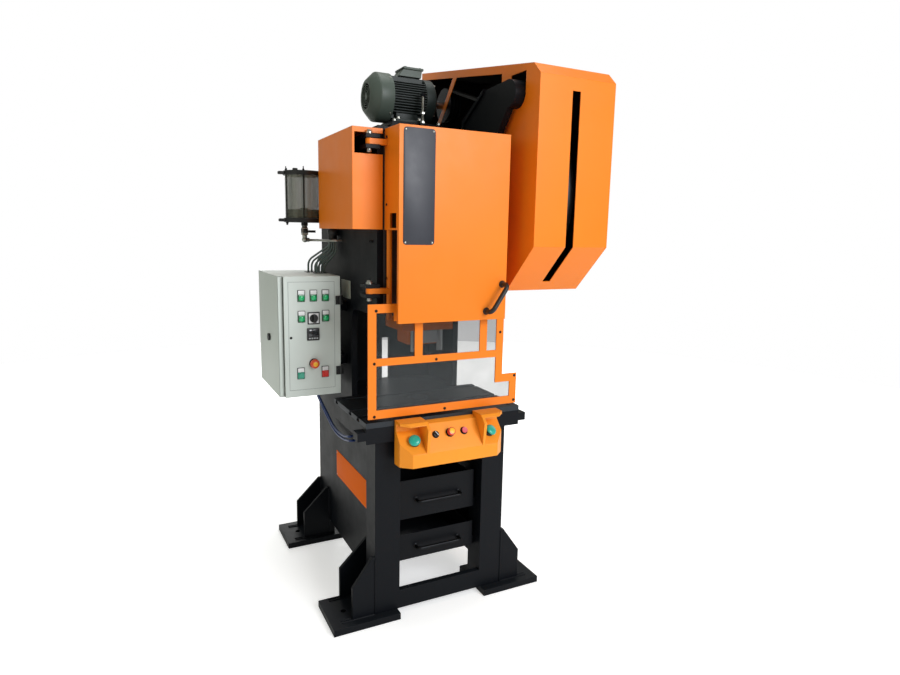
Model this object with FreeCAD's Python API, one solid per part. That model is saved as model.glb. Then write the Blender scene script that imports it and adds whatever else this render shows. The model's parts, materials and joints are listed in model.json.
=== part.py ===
import FreeCAD, Part
import math
import os

# Mechanical stamping press: an open-front (C-frame) eccentric press with a
# flywheel on its right side, a front door with a clear guard, a two-hand
# console and a control cabinet.
# Millimetres. +Z up, +X to the right and -Y towards the operator, who stands
# in front. The origin is the centre of the four floor anchor holes.

V = FreeCAD.Vector

# ------------------------------------------------------------ driving sizes
# Frame
side_x = 250.0              # outer face of each side plate
plate_t = 25.0              # thickness of the side plates
plate_bottom = 100.0        # underside of the side plates
head_front = -375.0         # front face of the head
head_bottom = 1187.0        # underside of the head, above the throat
head_top = 1870.0           # top of the frame
back_upper = 358.0          # rear edge of the side plates, upper part
back_lower = 440.0          # rear edge of the side plates, lower part
back_taper_top = 1250.0     # the rear edge leans between these two heights
back_taper_low = 900.0
throat_r = 60.0             # radius at the top of the throat
top_plate_t = 20.0
web_y = 175.0               # front face of the rear web
web_t = 25.0
web_slot_w = 38.0
web_slot_h = 198.0

# Bed and bolster
bed_half_w = 328.0
bed_front = -475.0
bed_back = -76.0
table_top = 810.0
bed_t = 80.0
bed_bottom = table_top - bed_t
bolster_t = 20.0
bed_lug_w = 33.0
bed_lug_l = 50.0
bed_lug_low = bed_bottom + 15.0
bed_lug_high = bed_lug_low + 32.0
tongue_t = 40.0             # rear table between the side plates
drop_hole_r = 45.0
slot_w = 18.0               # T-slots of the bolster
slot_base_w = 30.0
slot_depth = 16.0
slot_base_h = 8.0
slot_places = (-385.0, -290.0, -115.0)

# Stand and feet
leg_in = 180.0
leg_out = 282.0
leg_front = -445.0
leg_depth = 100.0
bar_low = 26.0
bar_high = 102.0
bar_depth = 25.0
foot_in = 188.0
foot_out = 456.0
foot_t = 26.0
front_foot = (-480.0, -260.0)
rear_foot = (260.0, 480.0)
anchor_x = 386.0            # anchor holes, from the centre planes
anchor_y = 370.0
anchor_r = 11.0
gusset_t = 14.0
gusset_reach = 373.0
gusset_shoulder = 155.0
gusset_top = 265.0

# Crank, connecting rod and ram
crank_y = -200.0
crank_z = 1655.0
throw = 25.0                # half of the stroke
journal_r = 55.0
end_r = 45.0                # outboard ends of the crankshaft
eccentric_r = 82.0
eccentric_half = 62.0
crank_left = -side_x - 68.0
crank_right = side_x + 322.0
fit = 0.05                  # radial running clearance
bush_r = 75.0
bush_in = side_x - 85.0     # inner end of each main bearing
big_end_r = 105.0
big_end_half = 58.0
shank_w = 70.0
shank_t = 80.0
shank_bottom = 1500.0
screw_r = 28.0
ball_r = 38.0
ball_z = 1243.0
ram_half_w = 112.0
ram_front = -290.0
ram_back = -110.0
ram_low = 1110.0
ram_high = 1430.0
nose_half_w = 75.0
nose_half_d = 65.0
nose_low = 1050.0
nose_chamfer = 14.0
shank_bore_r = 20.0
shank_bore_l = 70.0
slide_gap = 0.3             # between the ram and its guides
joint_room = 1.5            # extra room round the open pivot in the ram
keeper_in = 78.0            # half width of the front window of the guides
guide_top = 1500.0
chamber_half = 122.0
chamber_top = 1805.0
chamber_back = -60.0
casting_back = -30.0

# Flywheel, belts and clutch
wheel_r = 355.0
wheel_x = (side_x + 56.0, side_x + 242.0)
rim_t = 62.0
wheel_web_t = 40.0
wheel_hub_r = 90.0
groove_x = (side_x + 68.0, side_x + 84.0, side_x + 100.0)
groove_w = 13.6
groove_depth = 10.0
belt_w = 13.0
belt_h = 10.0
belt_gap = 0.4
clutch_r = 120.0
clutch_x = (side_x + 246.0, side_x + 316.0)

# Flywheel guard
guard_x = (side_x + 45.0, side_x + 395.0)
guard_t = 3.0
guard_front = -583.0
guard_low = 1273.0
guard_rail = 32.0
guard_slot_x = (side_x + 192.0, side_x + 229.0)
guard_slot_top = 2028.0
boss_y = -438.0
boss_z = 2022.0
boss_r = 51.5
arm_x = (side_x, side_x + 28.0)
boss_end = side_x + 85.0

# Motor
motor_y = 225.0
motor_z = 2090.0
motor_h = 112.0             # shaft height above its feet
stator_x = (-6.0, 222.0)
stator_r = 99.0
stator_bore_r = 62.0
cowl_x = (-80.0, 19.0)
cowl_r = 106.0
cowl_t = 2.5
cowl_chamfer = 36.0
shaft_r = 19.0
rotor_r = 60.0
fan_r = 84.0
fan_x = (-44.0, -14.0)
terminal_z = 2218.0          # underside of the terminal box lid
pulley_x = (side_x + 56.0, side_x + 112.0)
pulley_r = 76.0
base_t = 15.0
base_x = (0.0, side_x)
base_y = (108.0, 342.0)
base_skirt = 90.0

# Cover on the left side of the head
cover_left = -side_x - 94.0
cover_right = -side_x + 20.0
cover_front = -380.0
cover_back = 57.0
cover_low = 1506.0
cover_high = 1860.0
cover_t = 3.0
cover_window = (1770.0, 1842.0)

# Front door and its guard
door_half_w = 222.0
door_front = -515.0
door_back = -378.0
door_low = 1176.0
door_high = 1860.0
door_t = 3.0
door_notch = 1505.0
pin_x = -side_x - 36.0
pin_y = -392.0
pin_r = 8.0
hinge_heights = (1284.0, 1811.0)
arm_t = 20.0
arm_w = 24.0
ear_t = 14.0
ear_gap = 1.0
post_r = 10.0
post_x = -208.9
post_y = -394.0
frame_y = -460.0            # rear face of the flat bars
frame_t = 5.0
bar_w = 32.0
frame_half_w = 317.0
frame_low = 820.0
frame_high = 1243.0
frame_step = 945.0
frame_right = 249.0
rail_low = 1017.0
rail_w = 28.0
window_t = 4.0
window_edge = 6.0
handle_r = 9.0
handle_out = 46.0
handle_a = (137.0, 1209.0)
handle_b = (204.0, 1310.0)

# Drawers
drawer_half_w = 165.0
drawer_front = -405.0
drawer_depth = 335.0
drawer_t = 3.0
drawer_heights = ((380.0, 536.0), (207.0, 310.0))
pull_half_w = 95.0
pull_r = 6.5
pull_out = 30.0
runner_t = 5.0
runner_gap = 0.5

# Control cabinet
cab_right = -side_x - 48.0
cab_left = cab_right - 248.0
cab_front = -57.0
cab_back = 330.0
cab_low = 829.0
cab_high = 1317.0
cab_t = 2.5
cab_door_t = 20.0
cab_rail_w = 40.0
cab_rail_in = 110.0           # from the case ends to the rails
cab_lip_w = 24.0              # lip of the case, left of the door
cab_lap = 4.0                 # door over the lip
lamp_size = (30.0, 46.0)
lamp_out = 12.0
lamp_places = ((-458.0, 1240.0), (-409.0, 1240.0), (-360.0, 1240.0),
               (-458.0, 1157.0), (-360.0, 1157.0))
selector_place = (-409.0, 1149.0)
stop_place = (-410.0, 964.0)
start_place = (-464.0, 918.0)
halt_place = (-364.0, 918.0)
lock_place = (112.0, 1052.0)

# Two-hand console
console_half_w = 217.0
console_front = -562.0
console_corner = (179.0, -525.0)    # the front corners are cut between these
console_low = 642.0
console_fold = 697.0
panel_top = (-500.0, 790.0)
hood_in = 112.0
hood_top = 812.0
hood_front = -572.0
hood_wall = 12.0
palm_x = 158.0
palm_r = 22.0
palm_splay = 15.0
console_items = ((-72.0, 11.0), (-12.0, 15.0), (48.0, 12.0))

# Oil reservoir, pipe, cables and hoses
res_x = -side_x - 128.0
res_y = 165.0
res_r = 79.0
res_wall = 5.0
cap_r = res_r + 7.0
cap_t = 18.0
res_low = 1530.0
res_high = 1742.0
pipe_z = 1456.0
pipe_r = 5.0
pipe_y = 50.0
gland_y = 110.0
gland_z = 1492.0
gland_r = 24.0
cable_r = 4.2
cable_pitch = 9.2
cable_spread = (16.0, 12.0)   # between cables where each row lands
cable_land_x = (-side_x - 86.0, -side_x - 77.0)
cable_land_y = (195.0, 115.0)
hose_r = 5.0
hose_z = 630.0


# ------------------------------------------------------------ small helpers
def box(x0, x1, y0, y1, z0, z1):
    """A block between three pairs of coordinates, given in any order."""
    low = V(min(x0, x1), min(y0, y1), min(z0, z1))
    return Part.makeBox(abs(x1 - x0), abs(y1 - y0), abs(z1 - z0), low)


def polygon(points):
    return Part.makePolygon(points + [points[0]])


def prism_x(outline, x0, x1):
    """Extrude a (y, z) outline from x0 to x1."""
    face = Part.Face(polygon([V(x0, y, z) for y, z in outline]))
    return face.extrude(V(x1 - x0, 0, 0))


def prism_y(outline, y0, y1):
    """Extrude an (x, z) outline from y0 to y1."""
    face = Part.Face(polygon([V(x, y0, z) for x, z in outline]))
    return face.extrude(V(0, y1 - y0, 0))


def prism_z(outline, z0, z1):
    """Extrude an (x, y) outline from z0 to z1."""
    face = Part.Face(polygon([V(x, y, z0) for x, y in outline]))
    return face.extrude(V(0, 0, z1 - z0))


def rod_x(x0, x1, y, z, r):
    return Part.makeCylinder(r, abs(x1 - x0), V(min(x0, x1), y, z), V(1, 0, 0))


def rod_y(x, y0, y1, z, r):
    return Part.makeCylinder(r, abs(y1 - y0), V(x, min(y0, y1), z), V(0, 1, 0))


def rod_z(x, y, z0, z1, r):
    return Part.makeCylinder(r, abs(z1 - z0), V(x, y, min(z0, z1)), V(0, 0, 1))


def rod(start, end, r):
    way = end.sub(start)
    return Part.makeCylinder(r, way.Length, start, way)


def joined(pieces):
    shape = pieces[0].multiFuse(pieces[1:]) if len(pieces) > 1 else pieces[0]
    return shape.removeSplitter()


def less(shape, cuts):
    return shape.cut(cuts).removeSplitter()


def mirrored(shape):
    """The same piece on the other side of the centre plane."""
    return shape.mirror(V(0, 0, 0), V(1, 0, 0))


def group(pieces):
    return Part.makeCompound(pieces)


def offset_outline(outline, inset):
    """The (y, z) outline moved inwards by inset on every side."""
    wire = polygon([V(0, y, z) for y, z in outline])
    inner = Part.Wire(wire.Edges).makeOffset2D(-inset, 2)
    if Part.Face(inner).Area > Part.Face(wire).Area:
        inner = Part.Wire(wire.Edges).makeOffset2D(inset, 2)
    return inner


def tube_path(points):
    """Straight runs joined by tangent arcs as large as the runs allow."""
    edges = []
    start = points[0]
    for before, corner, after in zip(points, points[1:], points[2:]):
        back = before.sub(corner)
        ahead = after.sub(corner)
        reach = 0.45 * min(back.Length, ahead.Length)
        back.normalize()
        ahead.normalize()
        first = corner.add(back.multiply(reach))
        last = corner.add(ahead.multiply(reach))
        chord = first.add(last).multiply(0.5)
        to_corner = corner.sub(chord)
        half = first.distanceToPoint(chord)
        turn = 2 * math.atan2(half, to_corner.Length)
        radius = reach * math.tan(turn / 2)
        sagitta = radius / math.sin(turn / 2) - radius
        middle = corner.sub(to_corner.normalize().multiply(sagitta))
        edges.append(Part.LineSegment(start, first).toShape())
        edges.append(Part.Arc(first, middle, last).toShape())
        start = last
    edges.append(Part.LineSegment(start, points[-1]).toShape())
    return Part.Wire(edges)


def tube(points, r):
    """A round bar or hose along straight runs and tangent arcs."""
    path = tube_path(points)
    way = points[1].sub(points[0])
    circle = Part.Wire(Part.makeCircle(r, points[0], way))
    return path.makePipeShell([circle], True, False)


# ------------------------------------------------------------ frame
def side_plate(side):
    """One C-shaped side plate, with the bore of its main bearing."""
    outline = [(leg_front + leg_depth, plate_bottom), (leg_front + leg_depth, bed_bottom),
               (bed_back, bed_bottom), (bed_back, head_bottom - throat_r)]
    last = (bed_back - throat_r, head_bottom)
    rest = [last, (head_front, head_bottom), (head_front, head_top),
            (back_upper, head_top), (back_upper, back_taper_top),
            (back_lower, back_taper_low), (back_lower, plate_bottom)]
    x0 = side * (side_x - plate_t)
    centre = (bed_back - throat_r, head_bottom - throat_r)
    bend = (centre[0] + throat_r * math.cos(math.radians(45)),
            centre[1] + throat_r * math.sin(math.radians(45)))
    edges = [Part.makeLine(V(x0, *a), V(x0, *b)) for a, b in zip(outline, outline[1:])]
    edges.append(Part.Arc(V(x0, *outline[-1]), V(x0, *bend), V(x0, *last)).toShape())
    loop = rest + [outline[0]]
    edges += [Part.makeLine(V(x0, *a), V(x0, *b)) for a, b in zip(loop, loop[1:])]
    plate = Part.Face(Part.Wire(edges)).extrude(V(side * plate_t, 0, 0))
    bore = rod_x(x0 - plate_t, x0 + 2 * plate_t, crank_y, crank_z, bush_r)
    if side < 0:
        bore = rod_x(x0 - 2 * plate_t, x0 + plate_t, crank_y, crank_z, bush_r)
    return less(plate, [bore])


def front_stand():
    """Two front posts and the crossbar welded between their feet."""
    leg = box(leg_in, leg_out, leg_front, leg_front + leg_depth, foot_t, bed_bottom)
    bar = box(-leg_in, leg_in, leg_front, leg_front + bar_depth, bar_low, bar_high)
    return joined([leg, mirrored(leg), bar])


def gusset(inner, y):
    """A foot gusset against the post or the side plate at x = inner."""
    shoulder = inner + 12.0
    outline = [(inner, foot_t), (gusset_reach, foot_t), (gusset_reach, gusset_shoulder),
               (shoulder, gusset_top), (inner, gusset_top)]
    return prism_y(outline, y, y + gusset_t)


def foot(span, gussets):
    """A floor plate with its two gussets and its anchor hole."""
    plate = box(foot_in, foot_out, span[0], span[1], 0, foot_t)
    y = math.copysign(anchor_y, span[0])
    hole = rod_z(anchor_x, y, -1, foot_t + 1, anchor_r)
    return less(joined([plate] + [gusset(x, at) for x, at in gussets]), [hole])


def feet():
    front = foot(front_foot, [(leg_out, leg_front), (side_x, -284.0)])
    rear = foot(rear_foot, [(side_x, 285.0), (side_x, back_lower - gusset_t)])
    inner = side_x - plate_t
    pad = box(inner, side_x, rear_foot[0] + 20, back_lower, foot_t, plate_bottom)
    toe = box(inner, side_x, leg_front + leg_depth, front_foot[1] - 20, foot_t, plate_bottom)
    front = joined([front, toe])
    rear = joined([rear, pad])
    return group([front, mirrored(front), rear, mirrored(rear)])


def rear_web():
    """The plate that ties the side plates together behind the throat."""
    inner = side_x - plate_t
    web = box(-inner, inner, web_y, web_y + web_t, plate_bottom, head_top - top_plate_t)
    slot = box(-web_slot_w / 2, web_slot_w / 2, web_y - 1, web_y + web_t + 1,
               table_top, table_top + web_slot_h)
    hatch = box(-120, 120, web_y - 1, web_y + web_t + 1, 250, 600)
    return less(web, [slot, hatch])


def bed():
    inner = side_x - plate_t
    block = box(-bed_half_w, bed_half_w, bed_front, bed_back, bed_bottom, table_top - bolster_t)
    tongue = box(-inner, inner, bed_back, web_y, table_top - tongue_t, table_top)
    lug = box(bed_half_w, bed_half_w + bed_lug_w, bed_front, bed_front + bed_lug_l,
              bed_lug_low, bed_lug_high)
    hole = rod_z(0, crank_y, bed_bottom - 1, table_top, drop_hole_r + 10)
    return less(joined([block, tongue, lug, mirrored(lug)]), [hole])


def bolster_plate():
    """The machined table with T-slots and the drop hole."""
    low = table_top - bolster_t
    plate = box(-bed_half_w, bed_half_w, bed_front, bed_back, low, table_top)
    cuts = [rod_z(0, crank_y, low - 1, table_top + 1, drop_hole_r)]
    for y in slot_places:
        floor = table_top - slot_depth
        cuts.append(box(-bed_half_w - 1, bed_half_w + 1, y - slot_w / 2, y + slot_w / 2,
                        floor, table_top + 1))
        cuts.append(box(-bed_half_w - 1, bed_half_w + 1, y - slot_base_w / 2,
                        y + slot_base_w / 2, floor, floor + slot_base_h))
    return less(plate, cuts)


def head_casting():
    """The crank housing with the slide guides cast below it."""
    inner = side_x - plate_t
    block = box(-inner, inner, head_front, casting_back, head_bottom, head_top - top_plate_t)
    way = ram_half_w + slide_gap
    channel = box(-way, way, ram_front - slide_gap, ram_back + slide_gap,
                  head_bottom - 1, guide_top)
    window = box(-keeper_in, keeper_in, head_front - 1, ram_front, head_bottom - 1, guide_top)
    chamber = box(-chamber_half, chamber_half, head_front - 1, chamber_back,
                  guide_top - 1, chamber_top)
    bore = rod_x(-inner - 1, inner + 1, crank_y, crank_z, bush_r)
    return less(block, [channel, window, chamber, bore])


def top_plate():
    inner = side_x - plate_t
    return box(-inner, inner, head_front, back_upper, head_top - top_plate_t, head_top)


def main_bearings():
    """Two bronze bushes, through the side plates and the housing walls."""
    bush = rod_x(bush_in, side_x, crank_y, crank_z, bush_r)
    bush = less(bush, [rod_x(bush_in - 1, side_x + 1, crank_y, crank_z, journal_r + fit)])
    return group([bush, mirrored(bush)])


# ------------------------------------------------------------ crank train
def crankshaft():
    """Crankshaft at top dead centre: the eccentric points up."""
    journal = rod_x(-side_x - 8, side_x + 8, crank_y, crank_z, journal_r)
    left = rod_x(crank_left, -side_x, crank_y, crank_z, end_r)
    right = rod_x(side_x, crank_right, crank_y, crank_z, end_r)
    cam = rod_x(-eccentric_half, eccentric_half, crank_y, crank_z + throw, eccentric_r)
    return joined([journal, left, right, cam])


def connecting_rod():
    """Big end round the eccentric, with a shank that takes the screw."""
    z = crank_z + throw
    ring = rod_x(-big_end_half, big_end_half, crank_y, z, big_end_r)
    shank = box(-shank_t / 2, shank_t / 2, crank_y - shank_w / 2, crank_y + shank_w / 2,
                shank_bottom, z)
    bore = rod_x(-big_end_half - 1, big_end_half + 1, crank_y, z, eccentric_r + fit)
    thread = rod_z(0, crank_y, shank_bottom - 1, shank_bottom + 45, screw_r)
    return less(joined([ring, shank]), [bore, thread])


def adjusting_screw():
    """Shut-height screw with its ball end and its hexagon collar."""
    stem = rod_z(0, crank_y, ball_z, shank_bottom + 45, screw_r)
    ball = Part.makeSphere(ball_r, V(0, crank_y, ball_z))
    collar_r = 38.0
    corners = [(collar_r * math.cos(math.radians(60 * k)),
                crank_y + collar_r * math.sin(math.radians(60 * k))) for k in range(6)]
    collar = prism_z(corners, shank_bottom - 30, shank_bottom)
    return joined([stem, ball, collar])


def ram():
    """The slide, with its tool nose, and room for the ball of the screw."""
    body = box(-ram_half_w, ram_half_w, ram_front, ram_back, ram_low, ram_high)
    x = nose_half_w
    y0 = crank_y - nose_half_d
    y1 = crank_y + nose_half_d
    c = nose_chamfer
    outline = [(-x + c, y0), (x - c, y0), (x, y0 + c), (x, y1 - c),
               (x - c, y1), (-x + c, y1), (-x, y1 - c), (-x, y0 + c)]
    nose = prism_z(outline, nose_low, ram_low)
    bore = rod_z(0, crank_y, nose_low - 1, nose_low + shank_bore_l, shank_bore_r)
    room = throw + joint_room
    way = rod_z(0, crank_y, ball_z, ram_high + 1, screw_r + room)
    pocket = rod_z(0, crank_y, ball_z - ball_r - 10, ball_z + ball_r + 10, ball_r + room)
    return less(joined([body, nose]), [bore, way, pocket])


def shank_clamp():
    """Clamp block on the nose, and the two knock-out bars in front of it."""
    y0 = crank_y - nose_half_d
    block = box(-44, 44, y0 - 22, y0, nose_low + 8, ram_low - 2)
    bar = rod_z(58, y0 - 13, nose_low - 26, ram_low, 12.5)
    ear = box(40, 62, y0 - 20, y0 - 6, nose_low + 12, nose_low + 40)
    piece = joined([block, bar, mirrored(bar), ear, mirrored(ear)])
    return piece


def flywheel():
    """Rim with three belt grooves, web and hub; it turns on the shaft."""
    x0, x1 = wheel_x
    middle = (x0 + x1) / 2
    rim = less(rod_x(x0, x1, crank_y, crank_z, wheel_r),
               [rod_x(x0 - 1, x1 + 1, crank_y, crank_z, wheel_r - rim_t)])
    web = rod_x(middle - wheel_web_t / 2, middle + wheel_web_t / 2, crank_y, crank_z,
                wheel_r - rim_t + 1)
    hub = rod_x(x0, x1, crank_y, crank_z, wheel_hub_r)
    wheel = joined([rim, web, hub])
    cuts = [rod_x(x0 - 1, x1 + 1, crank_y, crank_z, end_r + fit)]
    floor = wheel_r - groove_depth
    for x in groove_x:
        ring = rod_x(x - groove_w / 2, x + groove_w / 2, crank_y, crank_z, wheel_r + 1)
        cuts.append(less(ring, [rod_x(x - groove_w, x + groove_w, crank_y, crank_z, floor)]))
    for turn in range(5):
        angle = math.radians(72 * turn + 18)
        hole_at = (wheel_hub_r + wheel_r - rim_t) / 2
        cuts.append(rod_x(x0, x1, crank_y + hole_at * math.cos(angle),
                          crank_z + hole_at * math.sin(angle), 52.0))
    return less(wheel, cuts)


def clutch_hub():
    """Air clutch keyed to the end of the crankshaft, outside the wheel."""
    x0, x1 = clutch_x
    drum = rod_x(x0, x1, crank_y, crank_z, clutch_r)
    rear = rod_x(x1, x1 + 22, crank_y, crank_z, 55.0)
    bore = rod_x(x0 - 1, crank_right + 0.1, crank_y, crank_z, end_r)
    return less(joined([drum, rear]), [bore])


def motor_pulley():
    x0, x1 = pulley_x
    wheel = rod_x(x0, x1, motor_y, motor_z, pulley_r)
    cuts = [rod_x(x0 - 1, x1 + 1, motor_y, motor_z, shaft_r)]
    for x in groove_x:
        ring = rod_x(x - groove_w / 2, x + groove_w / 2, motor_y, motor_z, pulley_r + 1)
        floor = rod_x(x - groove_w, x + groove_w, motor_y, motor_z, pulley_r - groove_depth)
        cuts.append(less(ring, [floor]))
    return less(wheel, cuts)


def belt_loop(x, big_r, small_r):
    """The region inside an open belt line round the two pulleys."""
    dy = motor_y - crank_y
    dz = motor_z - crank_z
    gap = math.hypot(dy, dz)
    lean = math.atan2(dz, dy)
    spread = math.acos((big_r - small_r) / gap)
    corners = []
    for y, z, r, sides in ((crank_y, crank_z, big_r, (1, -1)),
                           (motor_y, motor_z, small_r, (-1, 1))):
        for sign in sides:
            angle = lean + sign * spread
            corners.append((y + r * math.cos(angle), z + r * math.sin(angle)))
    outline = [corners[0], corners[1], corners[2], corners[3]]
    band = prism_x(outline, x - belt_w / 2, x + belt_w / 2)
    ends = [rod_x(x - belt_w / 2, x + belt_w / 2, crank_y, crank_z, big_r),
            rod_x(x - belt_w / 2, x + belt_w / 2, motor_y, motor_z, small_r)]
    return joined([band] + ends)


def drive_belts():
    big_r = wheel_r - groove_depth + belt_gap
    small_r = pulley_r - groove_depth + belt_gap
    belts = []
    for x in groove_x:
        outer = belt_loop(x, big_r + belt_h, small_r + belt_h)
        belts.append(less(outer, [belt_loop(x, big_r, small_r)]))
    return group(belts)


# ------------------------------------------------------------ guard and arm
guard_outline = [(-403.0, guard_low), (guard_front, 1453.0), (guard_front, 2075.0),
                 (-538.0, 2118.0), (450.0, 2276.0), (450.0, 1900.0), (205.0, 1600.0),
                 (205.0, 1343.0), (135.0, guard_low)]


def guard_roof(y):
    """Height of the sloping top of the guard at depth y."""
    (y0, z0), (y1, z1) = guard_outline[3], guard_outline[4]
    return z0 + (y - y0) * (z1 - z0) / (y1 - y0)


def flywheel_guard():
    """Folded sheet box with a slot at the front and belt windows inside."""
    x0, x1 = guard_x
    shell = prism_x(guard_outline, x0, x1)
    hollow = Part.Face(offset_outline(guard_outline, guard_t))
    hollow.translate(V(x0 + guard_t, 0, 0))
    hollow = hollow.extrude(V(x1 - x0 - 2 * guard_t, 0, 0))
    slot = [(guard_front - 17, guard_slot_top), (guard_front + 23, guard_slot_top),
            (guard_front + 23, 1462.0), (-425.0, 1327.0), (-446.0, 1300.0),
            (guard_front - 17, 1440.0)]
    cuts = [hollow, prism_x(slot, *guard_slot_x)]
    wall = (x0 - 1, x0 + guard_t + 1)
    brace = [(77.0, 262.0), (112.0, 297.0)]
    sill = 1890.0
    front_window = [(-316.0, sill), (-316.0, guard_roof(-316) - guard_rail),
                    (brace[0][0], guard_roof(brace[0][0]) - guard_rail), (336.0, sill)]
    rear_window = [(371.0, sill), (brace[1][0], guard_roof(brace[1][0]) - guard_rail),
                   (425.0, guard_roof(425) - guard_rail), (425.0, sill)]
    cuts += [prism_x(front_window, *wall), prism_x(rear_window, *wall)]
    reach = boss_r + slide_gap
    cuts.append(rod_x(wall[0], wall[1], boss_y, boss_z, reach))
    cuts.append(box(wall[0], wall[1], boss_y - reach, boss_y + reach, boss_z, 2101))
    cuts.append(rod_x(wall[0], wall[1], crank_y, crank_z, journal_r + 30))
    return less(shell, cuts)


def guard_hanger_arm():
    """Cast arm bolted to the right side plate; its boss carries the guard."""
    outline = [(-350.0, 1760.0), (-60.0, 1760.0), (-60.0, 1945.0), (-84.0, 1970.0),
               (-250.0, 2062.0), (-399.0, 2059.0), (boss_y, boss_z), (-438.0, 1972.0),
               (-372.0, 1893.0), (-350.0, 1840.0)]
    arm = prism_x(outline, *arm_x)
    top = prism_x([(-250.0, 2062.0), (boss_y + 6, boss_z + 51.0), (boss_y, boss_z),
                   (-300.0, 1990.0)], *arm_x)
    boss = rod_x(arm_x[0], boss_end, boss_y, boss_z, boss_r)
    rib = prism_x([(-60.0, 1760.0), (-84.0, 1970.0), (-262.0, 2068.0), (-250.0, 2048.0),
                   (-100.0, 1955.0), (-84.0, 1760.0)], arm_x[0] - 8, arm_x[0] + 4)
    keep = box(arm_x[0] - 20, arm_x[0], -400, 0, head_top + 0.5, 2100)
    rib = rib.common(joined([keep, box(arm_x[0], arm_x[1], -400, 0, 1700, 2100)]))
    return joined([arm, top, boss, rib])


# ------------------------------------------------------------ motor
def motor_base():
    """Welded pedestal on the top plate, with sloping ends."""
    x0, x1 = base_x
    y0, y1 = base_y
    top = motor_z - motor_h
    table = box(x0, x1, y0, y1, top - base_t, top)
    cheek_shape = [(x0 - base_skirt, head_top), (x1, head_top), (x1, top - base_t),
                   (x0, top - base_t)]
    cheeks = [prism_y(cheek_shape, y0, y0 + 12), prism_y(cheek_shape, y1 - 12, y1)]
    return joined([table] + cheeks)


def motor_stator():
    """Housing with end shields, bores for the shaft, and two foot rails."""
    x0, x1 = stator_x
    drum = rod_x(x0, x1, motor_y, motor_z, stator_r)
    nose = Part.makeCone(stator_r, 62.0, 20, V(x1, motor_y, motor_z), V(1, 0, 0))
    foot_z = motor_z - motor_h
    pads = []
    for side in (-1, 1):
        y = motor_y + side * 82.0
        pads.append(box(x0 + 34, x0 + 162, y - 18, y + 18, foot_z, foot_z + 14))
        pads.append(box(x0 + 46, x0 + 150, y - 18 * side, y - 40 * side, foot_z, motor_z - 40))
    hollow = rod_x(x0 + 22, x1 - 22, motor_y, motor_z, stator_bore_r)
    bore = rod_x(x0 - 1, x1 + 30, motor_y, motor_z, shaft_r + fit)
    return less(joined([drum, nose] + pads), [hollow, bore])


def motor_fan_cowl():
    """Pressed cowl over the fan, with an air opening in its end."""
    x0, x1 = cowl_x
    c = cowl_chamfer
    skin = Part.makeCone(cowl_r - c, cowl_r, c, V(x0, motor_y, motor_z), V(1, 0, 0))
    skin = joined([skin, rod_x(x0 + c, x1, motor_y, motor_z, cowl_r)])
    inner = Part.makeCone(cowl_r - c - cowl_t, cowl_r - cowl_t, c,
                          V(x0 + cowl_t, motor_y, motor_z), V(1, 0, 0))
    inner = joined([inner, rod_x(x0 + c + cowl_t, x1 - 6, motor_y, motor_z, cowl_r - cowl_t)])
    seat = rod_x(x1 - 7, x1 + 1, motor_y, motor_z, stator_r)
    air = rod_x(x0 - 1, x0 + cowl_t + 1, motor_y, motor_z, cowl_r - c - 14)
    return less(skin, [inner, seat, air])


def motor_terminal_box():
    seat = motor_z + stator_r - 3
    lower = prism_y([(60, seat), (168, seat), (172, terminal_z), (84, terminal_z)],
                    motor_y - 45, motor_y + 45)
    lid = box(80, 176, motor_y - 50, motor_y + 50, terminal_z, terminal_z + 7)
    barrel = rod_x(stator_x[0] - 1, stator_x[1] + 1, motor_y, motor_z, stator_r)
    return less(joined([lower, lid]), [barrel])


def motor_rotor():
    """Shaft, rotor core and the cooling fan on its left end."""
    shaft = rod_x(fan_x[0] - 12, pulley_x[1], motor_y, motor_z, shaft_r)
    core = rod_x(stator_x[0] + 30, stator_x[1] - 30, motor_y, motor_z, rotor_r)
    disc = rod_x(fan_x[0], fan_x[0] + 8, motor_y, motor_z, fan_r * 0.7)
    blades = []
    for k in range(8):
        blade = box(*fan_x, motor_y - 2, motor_y + 2, motor_z + 15, motor_z + 64)
        blade.rotate(V(0, motor_y, motor_z), V(1, 0, 0), 45 * k)
        blades.append(blade)
    return joined([shaft, core, disc] + blades)


# ------------------------------------------------------------ side cover
def side_cover():
    """Sheet cover over the left end of the crankshaft."""
    t = cover_t
    shell = box(cover_left, -side_x, cover_front, cover_back, cover_low, cover_high)
    hollow = box(cover_left + t, -side_x + 1, cover_front + t, cover_back - t,
                 cover_low + t, cover_high - t)
    wing = box(-side_x, cover_right, cover_front, cover_front + t, cover_low, cover_high)
    window = box(cover_left + 8, cover_right + 1, cover_front - 1, cover_front + t + 1,
                 *cover_window)
    return less(joined([less(shell, [hollow]), wing]), [window])


# ------------------------------------------------------------ front door
def door_hinge_brackets():
    """Two clevis brackets bolted to the left side plate."""
    brackets = []
    for z in hinge_heights:
        half = arm_t / 2 + ear_gap
        block = box(pin_x - 17, -side_x, pin_y - 16, head_front + 30,
                    z - half - ear_t, z + half + ear_t)
        gap = box(pin_x - 20, -side_x + 1, pin_y - 20, head_front + 3, z - half, z + half)
        slot = box(pin_x - 20, -side_x - 14, head_front, head_front + 31, z - half, z + half)
        bore = rod_z(pin_x, pin_y, z - 60, z + 60, pin_r)
        brackets.append(less(block, [gap, slot, bore]))
    return group(brackets)


def door_hinge_pins():
    pins = []
    for z in hinge_heights:
        reach = arm_t / 2 + ear_gap + ear_t
        pin = rod_z(pin_x, pin_y, z - reach - 5, z + reach, pin_r)
        head = rod_z(pin_x, pin_y, z + reach, z + reach + 7, pin_r + 4)
        pins.append(joined([pin, head]))
    return group(pins)


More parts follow.
